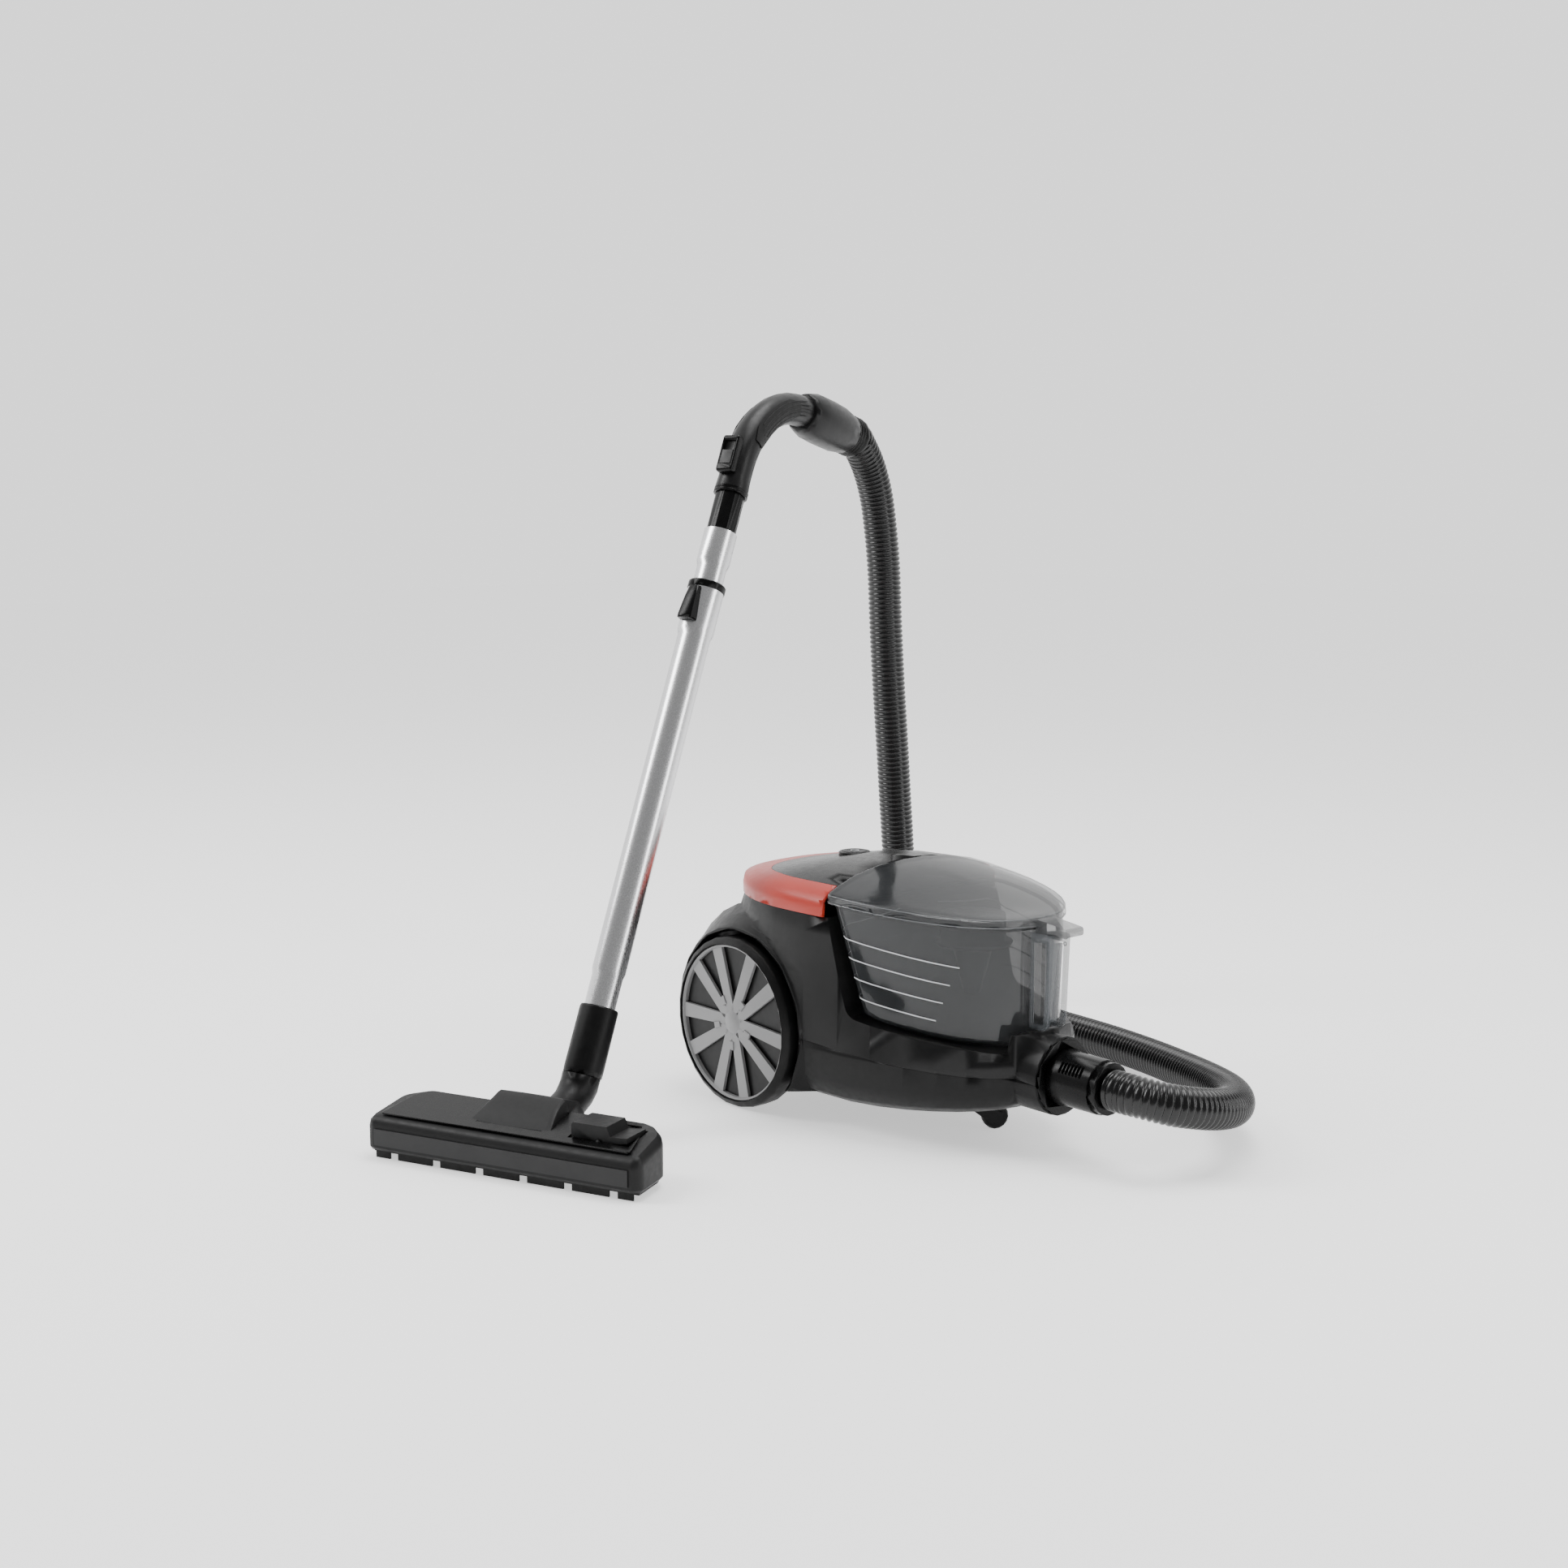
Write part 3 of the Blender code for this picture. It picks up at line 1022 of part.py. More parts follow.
def make_handle(skins):
    foot, axis, side = neck_point(), wand_direction(), wand_side()
    profile = [(SPIGOT_RADIUS - 0.0025, INNER_SLEEVE_FROM + 0.004), (SPIGOT_RADIUS, INNER_SLEEVE_FROM + 0.004),
               (SPIGOT_RADIUS, COLLAR_AT + 0.003), (SPIGOT_RADIUS - 0.0025, COLLAR_AT + 0.003)]
    add_piece("handle_spigot", turned(profile, foot, axis, 28), skins["gloss"])
    profile = [(SPIGOT_RADIUS + TOUCH, COLLAR_AT - 0.006), (HANDLE_RADIUS + 0.001, COLLAR_AT - 0.006),
               (HANDLE_RADIUS + 0.001, COLLAR_AT - 0.004), (HANDLE_RADIUS + 0.0003, COLLAR_AT - 0.0036),
               (HANDLE_RADIUS + 0.0003, COLLAR_AT - 0.0024), (HANDLE_RADIUS + 0.001, COLLAR_AT - 0.002),
               (HANDLE_RADIUS + 0.001, COLLAR_AT - TOUCH), (SPIGOT_RADIUS + TOUCH, COLLAR_AT - TOUCH)]
    add_piece("handle_collar", turned(profile, foot, axis, 32), skins["gloss"])

    path = handle_path()
    outer = [HANDLE_RADIUS + 0.0008] + [HANDLE_RADIUS] * (len(path) - 1)
    inner = [SPIGOT_RADIUS + TOUCH] * 2 + [HANDLE_RADIUS - HANDLE_WALL] * (len(path) - 2)
    add_piece("handle_shell", pipe_along(path, outer, inner, side, sleeve_direction()), skins["housing"])

    for name, hand in (("right", 1), ("left", -1)):
        strip = path[4:11]
        rings = []
        for i, middle in enumerate(strip):
            here = i + 4
            ahead = (path[here + 1] - path[here - 1]).normalized()
            up = side.cross(ahead).normalized()
            ends = 1.0 if 0 < i < len(strip) - 1 else 0.6
            arc = [math.radians(a) * ends for a in (-38, -19, 0, 19, 38)]
            low = [middle + side * hand * (HANDLE_RADIUS + 2 * TOUCH) * math.cos(a) + up * (HANDLE_RADIUS + 2 * TOUCH) * math.sin(a) for a in arc]
            high = [middle + side * hand * (HANDLE_RADIUS + 0.0012) * math.cos(a) + up * (HANDLE_RADIUS + 0.0012) * math.sin(a) for a in arc]
            rings.append(low + high[::-1])
        add_piece(f"grip_inlay_{name}", lofted(rings), skins["rubber"])

    start, ahead = on_wand(COLLAR_AT + 0.012), wand_direction()
    front = wand_front()
    frame = Matrix(((*-side, 0), (*front, 0), (*ahead, 0), (0, 0, 0, 1))).transposed()
    frame = Matrix.Translation(start) @ frame
    seat = HANDLE_RADIUS + 0.0005
    pad = block((-0.0105, 0.004, 0.0), (0.0105, seat + 0.007, 0.042), 0.003, 2)
    pad = cut(placed(pad, frame), rod(on_wand(COLLAR_AT - 0.03), on_wand(COLLAR_AT + 0.09), HANDLE_RADIUS + 0.0015, 44))
    pocket = placed(block((-0.0077, seat + 0.0036, 0.008), (0.0077, seat + 0.02, 0.036)), frame)
    add_piece("slider_frame", cut(pad, pocket), skins["gloss"])
    slider = block((-0.0071, seat + 0.004 + TOUCH, 0.0085), (0.0071, seat + 0.0068, 0.0245), 0.0006, 1)
    add_piece("air_slider", placed(slider, frame), skins["housing"], pivot=frame @ Vector((0, seat + 0.005, 0.016)))

    end, onward = path[-1], sleeve_direction()
    bore = SWIVEL_COLLAR_RADIUS - 0.0030
    length = HOSE_SLEEVE_LENGTH
    profile = [(HANDLE_RADIUS - HANDLE_WALL, TOUCH), (HANDLE_RADIUS + 0.003, TOUCH), (HANDLE_RADIUS + 0.0055, 0.006),
               (HOSE_SLEEVE_RADIUS, 0.020), (HOSE_SLEEVE_RADIUS + 0.0006, 0.045), (HOSE_SLEEVE_RADIUS, 0.072),
               (HOSE_SLEEVE_RADIUS - 0.003, length), (bore, length), (bore, 0.070), (HANDLE_RADIUS - HANDLE_WALL, 0.060)]
    add_piece("hose_sleeve", turned(profile, end, onward, 32), skins["housing"], pivot=end)
    rim = length + RUN
    outline = [(bore - RUN, 0.072), (bore - RUN, rim), (SWIVEL_COLLAR_RADIUS, rim)]
    grooves = 3
    step = (SWIVEL_COLLAR_LENGTH - 0.006) / grooves
    for k in range(grooves):
        a = rim + 0.0015 + k * step
        outline += [(SWIVEL_COLLAR_RADIUS, a), (SWIVEL_COLLAR_RADIUS - 0.0012, a + step * 0.3),
                    (SWIVEL_COLLAR_RADIUS - 0.0012, a + step * 0.6), (SWIVEL_COLLAR_RADIUS, a + step * 0.9)]
    outline += [(SWIVEL_COLLAR_RADIUS, rim + SWIVEL_COLLAR_LENGTH - 0.001), (SWIVEL_COLLAR_RADIUS - 0.001, rim + SWIVEL_COLLAR_LENGTH),
                (0.0165, rim + SWIVEL_COLLAR_LENGTH), (0.0165, 0.072)]
    add_piece("hose_collar", turned(outline, end, onward, 28), skins["gloss"])


# ---------------------------------------------------------------- floor head

def head_outline(inset, front=0.0):
    half = HEAD_LENGTH / 2 - inset
    points = [(-half, front + inset), (half, front + inset), (half - 0.004, HEAD_DEPTH * 0.72), (half - 0.026, HEAD_DEPTH - inset),
              (-half + 0.026, HEAD_DEPTH - inset), (-half + 0.004, HEAD_DEPTH * 0.72)]
    return rounded(points, [max(0.002, 0.010 - inset)] * 2 + [max(0.004, 0.02 - inset), 0.012, 0.012, max(0.004, 0.02 - inset)], 3)


def head_top(y):
    """Height of the head's sloping top."""
    return HEAD_FRONT_HEIGHT + (HEAD_BACK_HEIGHT - HEAD_FRONT_HEIGHT) * min(1.0, max(0.0, y / HEAD_DEPTH))


def head_level(inset, height):
    return [(x, y, height(y)) for x, y in head_outline(inset)]


def head_rounding(y):
    """The top bends down behind and in front."""
    return head_top(y)


def make_head(skins):
    frame = head_frame()

    def own(name, shape, skin, pivot=(0, 0, 0), smooth=38):
        return add_piece(name, placed(shape, frame), skins[skin], frame @ Vector(pivot), smooth)

    skirt = HEAD_SKIRT
    rings = [head_level(0.0025, lambda y: skirt), head_level(0.0, lambda y: skirt + 0.003),
             head_level(0.0, lambda y: head_top(y) - 0.010), head_level(0.0015, lambda y: head_top(y) - 0.004),
             head_level(0.006, lambda y: head_top(y)), head_level(0.030, lambda y: head_top(y) + 0.0015)]
    middle = HEAD_DEPTH * 0.5
    rings[-1] = [(x * 0.97, middle + (y - middle) * 0.25, head_top(middle + (y - middle) * 0.25) + 0.001) for x, y, z in rings[-1]]
    shell = lofted(rings)
    inside = lofted([head_level(HEAD_WALL - 0.0005, lambda y: skirt - 0.01), head_level(HEAD_WALL - 0.0005, lambda y: skirt + 0.005),
                     head_level(HEAD_WALL + 0.001, lambda y: head_top(y) - 0.012),
                     head_level(HEAD_WALL + 0.008, lambda y: head_top(y) - HEAD_WALL - 0.003)])
    shell = cut(shell, inside)
    drum_half = 0.022
    room = drum_half + RUN
    axis_a = Vector((-room, PITCH_BACK, PITCH_HEIGHT))
    axis_b = Vector((room, PITCH_BACK, PITCH_HEIGHT))
    swing = rod(axis_a, axis_b, HINGE_DRUM + 0.0012, 40)
    cheeks = []
    for hand in (1, -1):
        outline = [(0.030, 0.0235), (0.0625, 0.0235), (0.066, 0.0150), (PITCH_BACK - 0.004, 0.0130),
                   (PITCH_BACK + 0.012, 0.021), (PITCH_BACK + 0.016, 0.040), (PITCH_BACK + 0.004, 0.058), (0.060, 0.066),
                   (0.030, 0.050), (0.020, head_top(0.02) - 0.004)]
        near, far = sorted((hand * (room - 0.001), hand * (room + 0.013)))
        cheeks.append(prism([(0, y, z) for y, z in outline], (1, 0, 0), near, far))
    shell = joined(shell, *cheeks)
    back_room = block((-room, PITCH_BACK - HINGE_DRUM - 0.002, skirt - 0.02), (room, PITCH_BACK + 0.1, 0.2))
    shell = cut(shell, back_room)
    pedal_x, pedal_y = PEDAL_AT
    pocket = block((pedal_x - 0.032, pedal_y - 0.0185, head_top(pedal_y) - 0.010), (pedal_x + 0.032, pedal_y + 0.0185, 0.2), 0.0)
    shell = cut(shell, pocket)
    pin_z = head_top(pedal_y) - 0.001
    shell = joined(shell, rod((pedal_x, pedal_y - 0.0192, pin_z), (pedal_x, pedal_y + 0.0192, pin_z), 0.0025, 14))
    wheel_room = []
    for hand in (1, -1):
        wheel_room.append(block((hand * 0.115 - 0.008, 0.049, skirt - 0.01), (hand * 0.115 + 0.008, 0.0715, skirt + 0.012)))
    own("head_frame", shell, "frame")

    slope = HEAD_BACK_HEIGHT - HEAD_FRONT_HEIGHT
    panel = []
    for lift in (TOUCH, 0.0016):
        level = []
        for x, y in rounded([(-0.140, 0.007), (0.140, 0.007), (0.130, 0.050), (0.118, 0.062), (-0.118, 0.062), (-0.130, 0.050)],
                            [0.003, 0.003, 0.01, 0.008, 0.008, 0.01], 3):
            level.append((x, y, head_top(y) + 0.0016 + lift))
        panel.append(level)
    panel = lofted(panel)
    gap_x = room + 0.014
    panel = cut(panel, block((-gap_x, 0.018, 0.0), (gap_x, 0.1, 0.2)),
                block((pedal_x - 0.033, pedal_y - 0.0195, 0), (pedal_x + 0.033, pedal_y + 0.0195, 0.2)))
    own("head_top_panel", panel, "gloss")

    strip = block((-0.142, -0.0016, skirt + 0.006), (0.142, -TOUCH, HEAD_FRONT_HEIGHT - 0.010), 0.0)
    own("head_front_strip", strip, "strip")

    sole_low = 0.0050
    sole = prism([(x, y, 0) for x, y in head_outline(HEAD_WALL + 0.0015)], (0, 0, 1), sole_low, skirt + 0.001)
    sole = cut(sole, block((-0.120, 0.020, -0.1), (0.120, 0.034, 0.1)), block((-0.2, -0.1, -0.1), (0.2, 0.0082, 0.1)),
               block((-0.131, 0.0535, -0.1), (0.131, 0.0605, 0.1)),
               block((-room, PITCH_BACK - HINGE_DRUM - 0.002, -0.1), (room, 0.2, 0.1)))
    for hand in (1, -1):
        sole = cut(sole, block((hand * 0.100 - 0.008, 0.0385, -0.1), (hand * 0.100 + 0.008, 0.0525, 0.1)))
    own("sole_plate", sole, "frame")

    bar_low, bar_high = skirt + 0.0025, skirt + 0.0065
    strip = block((-0.1445, 0.0048, bar_low), (0.1445, 0.0072, bar_high))
    widths = [0.0165, 0.040, 0.040, 0.040, 0.040, 0.040, 0.0165]
    gap = (0.289 - sum(widths)) / (len(widths) - 1)
    left = -0.1445
    for width in widths:
        strip = joined(strip, block((left, 0.0050, 0.0), (left + width, 0.0050 + BRUSH_THICKNESS, bar_low + 0.001)))
        left += width + gap
    own("brush_front", strip, "brush")
    strip = joined(block((-0.128, 0.0545, bar_low), (0.128, 0.0595, bar_high)),
                   block((-0.126, 0.0560, 0.0), (0.126, 0.0560 + BRUSH_THICKNESS, bar_low + 0.001)))
    own("brush_rear", strip, "brush")
    for name, hand in (("right", 1), ("left", -1)):
        centre = Vector((hand * 0.100, 0.0455, 0.0052))
        profile = [(0, -0.005), (0.0042, -0.005), (0.0050, -0.004), (0.0050, 0.004), (0.0042, 0.005), (0, 0.005)]
        own(f"head_wheel_{name}", turned(profile, centre, (1, 0, 0), 20), "tyre", centre)

    rocker = [(pedal_x - 0.030, head_top(pedal_y) + 0.001), (pedal_x - 0.004, head_top(pedal_y) - 0.005), (pedal_x + 0.004, head_top(pedal_y) - 0.005),
              (pedal_x + 0.030, head_top(pedal_y) + 0.001), (pedal_x + 0.030, head_top(pedal_y) + 0.006),
              (pedal_x + 0.012, head_top(pedal_y) + 0.005), (pedal_x + 0.008, head_top(pedal_y) + 0.014),
              (pedal_x - 0.028, head_top(pedal_y) + 0.014), (pedal_x - 0.030, head_top(pedal_y) + 0.012)]
    rocker = prism([(x, 0, z) for x, z in rocker], (0, 1, 0), pedal_y - 0.017, pedal_y + 0.017)
    rocker = cut(rocker, rod((pedal_x, 0, pin_z), (pedal_x, 0.1, pin_z), 0.0025 + RUN / 2, 14))
    own("height_pedal", rocker, "frame", (pedal_x, pedal_y, pin_z))

    centre = Vector((0, PITCH_BACK, PITCH_HEIGHT))
    drum = rod((-drum_half, *centre[1:]), (drum_half, *centre[1:]), HINGE_DRUM, 36)
    into = frame.inverted() @ (neck_point())
    aim = frame.to_3x3().inverted() @ wand_direction()
    path = []
    steps = 7
    for k in range(steps + 1):
        t = k / steps
        low = centre + Vector((0, 0.030, 0.002))
        high = into - aim * 0.026
        path.append(centre * (1 - t)**3 + low * 3 * t * (1 - t)**2 + high * 3 * t * t * (1 - t) + into * t**3)
    path[-1] = path[-2] + aim * (path[-1] - path[-2]).dot(aim)
    side = Vector((1, 0, 0))
    outside = [NECK_RADIUS - 0.0025] * 3 + [NECK_RADIUS - 0.0015] * 2 + [NECK_RADIUS - 0.0005, NECK_RADIUS, NECK_RADIUS]
    tube = lofted([[middle + across * a + up * b for a, b in circle(outside[i], 20)] for i, (middle, across, up) in enumerate(stations(path, side))])
    elbow = joined(drum, tube)
    hollow = lofted([[middle + across * a + up * b for a, b in circle(NECK_BORE - 0.001, 16)] for middle, across, up in stations(path + [path[-1] + aim * 0.01], side)][1:])
    elbow = cut(elbow, hollow)
    elbow = cut(elbow, block((-0.014, PITCH_BACK - 0.012, 0.0), (0.014, PITCH_BACK + 0.012, PITCH_HEIGHT)))
    own("neck_elbow", elbow, "chassis", centre)


def stations(path, side):
    """A path's points with two directions square to it."""
    result = []
    for i, middle in enumerate(path):
        ahead = (path[min(i + 1, len(path) - 1)] - path[max(i - 1, 0)]).normalized()
        up = side.cross(ahead).normalized()
        result.append((middle, ahead.cross(up).normalized() * -1, up))
    return result


# ---------------------------------------------------------------- hose

def make_hose(skins):
    data = bpy.data.curves.new("hose", 'CURVE')
    data.dimensions = '3D'
    line = data.splines.new('POLY')
    onward = sleeve_direction()
    start = Vector((CUFF_END + 2 * TOUCH, 0, INLET_HEIGHT))
    end = handle_path()[-1] + onward * (HOSE_SLEEVE_LENGTH + RUN + SWIVEL_COLLAR_LENGTH + 2 * TOUCH)
    first, last = start + Vector((0.008, 0, 0)), end + onward * 0.008
    points = [start, *smooth_curve([first, *HOSE_ROUTE, last], 62), end]
    line.points.add(len(points) - 1)
    for spot, point in zip(line.points, points):
        spot.co = (*point, 1.0)
    data.bevel_depth = HOSE_RADIUS
    data.bevel_resolution = 3
    data.use_fill_caps = True
    data.materials.append(skins["gloss"])
    hose = bpy.data.objects.new("hose", data)
    bpy.context.scene.collection.objects.link(hose)
    hose.parent = VACUUM


def move_to_origin():
    """Puts zero on the floor under the middle of everything but the hose."""
    bpy.context.view_layer.update()
    corners = []
    for piece in bpy.data.objects:
        if piece.type == 'MESH':
            corners += [piece.matrix_world @ vertex.co for vertex in piece.data.vertices]
    low = [min(c[k] for c in corners) for k in range(3)]
    high = [max(c[k] for c in corners) for k in range(3)]
    VACUUM.location = (-(low[0] + high[0]) / 2, -(low[1] + high[1]) / 2, -low[2])
    bpy.context.view_layer.update()


VACUUM = None


def main():
    global VACUUM
    clear_scene()
    VACUUM = add_empty("vacuum", (0, 0, 0))
    black = (0.020, 0.020, 0.021)
    skins = {
        "chassis": make_material("chassis_black", black, 0.42),
        "housing": make_material("housing_black", (0.030, 0.031, 0.033), 0.38),
        "gloss": make_material("cover_black", (0.012, 0.012, 0.013), 0.22),
        "band": make_material("coral_paint", (0.62, 0.065, 0.045), 0.35),
        "tyre": make_material("tyre_black", (0.016, 0.016, 0.016), 0.65),
        "silver": make_material("silver_paint", (0.33, 0.33, 0.34), 0.35, 0.6),
        "steel": make_material("steel", (0.70, 0.70, 0.71), 0.25, 1.0),
        "zinc": make_material("motor_zinc", (0.45, 0.45, 0.46), 0.40, 1.0),
        "clear": make_material("smoked_clear", (0.16, 0.17, 0.18), 0.08, 0.0, 0.45),
        "smoke": make_material("smoke_grey", (0.06, 0.06, 0.065), 0.35),
        "rubber": make_material("rubber", (0.02, 0.02, 0.02), 0.8),
        "foam": make_material("filter_foam", (0.45, 0.45, 0.42), 0.95),
        "button": make_material("button_grey", (0.10, 0.10, 0.105), 0.35),
        "board": make_material("board_green", (0.05, 0.16, 0.09), 0.5),
        "frame": make_material("head_grey", (0.035, 0.036, 0.038), 0.45),
        "strip": make_material("strip_grey", (0.085, 0.086, 0.088), 0.45),
        "brush": make_material("brush_black", (0.015, 0.015, 0.015), 0.9),
    }
    for step in (make_body, make_band, make_cover, make_wheels, make_castor, make_container, make_grip, make_cyclone,
                 make_inlet, make_motor, make_exhaust, make_reel, make_wand, make_handle, make_head, make_hose):
        step(skins)
    move_to_origin()


main()
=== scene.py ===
import json
import math

import bmesh
import bpy
from mathutils import Matrix, Vector
from mathutils.bvhtree import BVHTree


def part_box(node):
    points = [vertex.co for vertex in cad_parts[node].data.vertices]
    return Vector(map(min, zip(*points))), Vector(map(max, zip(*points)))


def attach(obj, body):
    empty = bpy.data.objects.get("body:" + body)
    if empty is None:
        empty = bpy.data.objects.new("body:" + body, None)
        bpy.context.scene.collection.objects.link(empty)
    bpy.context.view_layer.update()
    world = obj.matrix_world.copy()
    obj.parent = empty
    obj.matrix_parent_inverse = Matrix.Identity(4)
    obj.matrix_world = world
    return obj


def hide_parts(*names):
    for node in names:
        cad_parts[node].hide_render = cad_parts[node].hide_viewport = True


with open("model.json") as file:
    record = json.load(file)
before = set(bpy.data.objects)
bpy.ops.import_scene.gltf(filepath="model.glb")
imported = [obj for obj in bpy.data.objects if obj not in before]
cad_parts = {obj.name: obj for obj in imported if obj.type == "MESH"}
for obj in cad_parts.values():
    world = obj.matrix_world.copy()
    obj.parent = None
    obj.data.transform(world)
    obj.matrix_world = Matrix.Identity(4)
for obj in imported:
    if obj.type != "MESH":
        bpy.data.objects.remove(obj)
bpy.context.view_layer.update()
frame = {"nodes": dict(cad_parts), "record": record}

# The machine's own place: x runs forward to the hose inlet,
# zero on the floor under the middle of the rear axle
rightWheelLow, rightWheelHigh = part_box("wheel_right")
leftWheelLow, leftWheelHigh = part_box("wheel_left")
axle = Vector((
    (leftWheelLow.x + leftWheelHigh.x) / 2,
    (rightWheelLow.y + leftWheelHigh.y) / 2,
    0,
))
cuffHeight = 0.080

# The wand leans back from its foot in the floor head's neck
wandHeading = math.radians(107)
wandLean = math.radians(25.3)
wandUp = Vector((
    math.cos(wandHeading) * math.sin(wandLean),
    math.sin(wandHeading) * math.sin(wandLean),
    math.cos(wandLean),
))
wandFoot = axle + Vector((-0.015402, -0.315918, 0.0625))


# ---- camera, and the values of the floor and sky

studio = {
    "azimuth": 49.3, "elevation": 8.2, "lens": 50, "eye": (1.710, -1.535, 0.659),
    "floorHalf": 9, "floorColour": (0.84, 0.84, 0.84), "floorGlow": 0.75,
    "skyStrength": 1.55, "dimStrength": 0.30, "skyFade": (-0.35, 0.45),
}


def lookFrom(eye, azimuth, elevation):
    a, e = math.radians(azimuth), math.radians(elevation)
    back = Vector((math.sin(a) * math.cos(e), -math.cos(a) * math.cos(e), math.sin(e)))
    right = Vector((math.cos(a), math.sin(a), 0))
    up = back.cross(right)
    turn = Matrix((right, up, back)).transposed().to_4x4()
    return Matrix.Translation(eye) @ turn


def setCamera(values):
    lens = bpy.data.cameras.new("camera")
    lens.lens = values["lens"]
    lens.sensor_width = 36
    lens.clip_end = 50
    camera = bpy.data.objects.new("camera", lens)
    bpy.context.scene.collection.objects.link(camera)
    eye = axle + Vector(values["eye"])
    camera.matrix_world = lookFrom(eye, values["azimuth"], values["elevation"])
    bpy.context.scene.camera = camera


setCamera(studio)
print("camera set")


# ---- materials

def newMaterial(name):
    material = bpy.data.materials.new(name)
    material.use_nodes = True
    nodes = material.node_tree.nodes
    nodes.clear()
    output = nodes.new("ShaderNodeOutputMaterial")
    shader = nodes.new("ShaderNodeBsdfPrincipled")
    material.node_tree.links.new(shader.outputs["BSDF"], output.inputs["Surface"])
    return material, shader


def wire(material, source, target):
    material.node_tree.links.new(source, target)


def addNode(material, kind, **settings):
    node = material.node_tree.nodes.new(kind)
    for key, value in settings.items():
        setattr(node, key, value)
    return node


def noiseOn(material, scale, detail=2.0, stretch=None, turn=None):
    # noise in metres on the piece, stretched along one way where the finish has a grain
    place = addNode(material, "ShaderNodeTexCoord").outputs["Object"]
    if stretch:
        mapping = addNode(material, "ShaderNodeMapping")
        mapping.inputs["Scale"].default_value = stretch
        if turn:
            mapping.inputs["Rotation"].default_value = turn
        wire(material, place, mapping.inputs["Vector"])
        place = mapping.outputs["Vector"]
    noise = addNode(material, "ShaderNodeTexNoise")
    noise.inputs["Scale"].default_value = scale
    noise.inputs["Detail"].default_value = detail
    wire(material, place, noise.inputs["Vector"])
    return noise.outputs["Fac"]


def rangeOf(material, value, low, high, start=0.3, end=0.7):
    spread = addNode(material, "ShaderNodeMapRange")
    spread.inputs["From Min"].default_value = start
    spread.inputs["From Max"].default_value = end
    spread.inputs["To Min"].default_value = low
    spread.inputs["To Max"].default_value = high
    wire(material, value, spread.inputs["Value"])
    return spread.outputs["Result"]


def colourOf(material, value, dark, light):
    ramp = addNode(material, "ShaderNodeValToRGB")
    ramp.color_ramp.elements[0].position = 0.3
    ramp.color_ramp.elements[1].position = 0.7
    ramp.color_ramp.elements[0].color = (*dark, 1)
    ramp.color_ramp.elements[1].color = (*light, 1)
    wire(material, value, ramp.inputs["Fac"])
    return ramp.outputs["Color"]


def bumpFrom(material, value, depth, before=None):
    bump = addNode(material, "ShaderNodeBump")
    bump.inputs["Distance"].default_value = depth
    bump.inputs["Strength"].default_value = 1.0
    wire(material, value, bump.inputs["Height"])
    if before:
        wire(material, before, bump.inputs["Normal"])
    return bump.outputs["Normal"]


def toneOf(colour, darker, lighter):
    dark = [channel * darker for channel in colour]
    light = [min(1, channel * lighter) for channel in colour]
    return dark, light


def moulded(name, colour, rough, grain=0.000003, grainScale=1400, patch=0.12, specular=0.2):
    # moulded plastic: a fine eroded grain, roughness that wanders, and slow changes of tone
    material, shader = newMaterial(name)
    tone = toneOf(colour, 1 - patch, 1 + patch)
    slow = noiseOn(material, 18, 3)
    wire(material, colourOf(material, slow, *tone), shader.inputs["Base Color"])
    wander = noiseOn(material, 160, 4)
    wire(material, rangeOf(material, wander, *rough), shader.inputs["Roughness"])
    if grain:
        fine = bumpFrom(material, noiseOn(material, grainScale, 2), grain)
        wavy = bumpFrom(material, noiseOn(material, 30, 1), grain * 3, fine)
        wire(material, wavy, shader.inputs["Normal"])
    shader.inputs["Specular IOR Level"].default_value = specular
    material.diffuse_color = (*colour, 1)
    return material


def metal(name, colour, rough, stretch=None, turn=None, streak=0.000012):
    # drawn or ground metal, with its grain along one way
    material, shader = newMaterial(name)
    grain = noiseOn(material, 260, 5, stretch, turn)
    tone = toneOf(colour, 0.9, 1.06)
    wire(material, colourOf(material, grain, *tone), shader.inputs["Base Color"])
    wire(material, rangeOf(material, grain, *rough), shader.inputs["Roughness"])
    wire(material, bumpFrom(material, grain, streak), shader.inputs["Normal"])
    shader.inputs["Metallic"].default_value = 1.0
    material.diffuse_color = (*colour, 1)
    return material


def clearMoulding(name, colour, alpha, rough):
    # smoked transparent plastic: faint flow marks, and a gloss that wanders
    material, shader = newMaterial(name)
    flow = noiseOn(material, 9, 2)
    tone = toneOf(colour, 0.85, 1.15)
    wire(material, colourOf(material, flow, *tone), shader.inputs["Base Color"])
    wander = noiseOn(material, 40, 3)
    wire(material, rangeOf(material, wander, *rough), shader.inputs["Roughness"])
    shader.inputs["Alpha"].default_value = alpha
    shader.inputs["IOR"].default_value = 1.5
    shader.inputs["Specular IOR Level"].default_value = 0.6
    material.diffuse_color = (*colour, alpha)
    return material


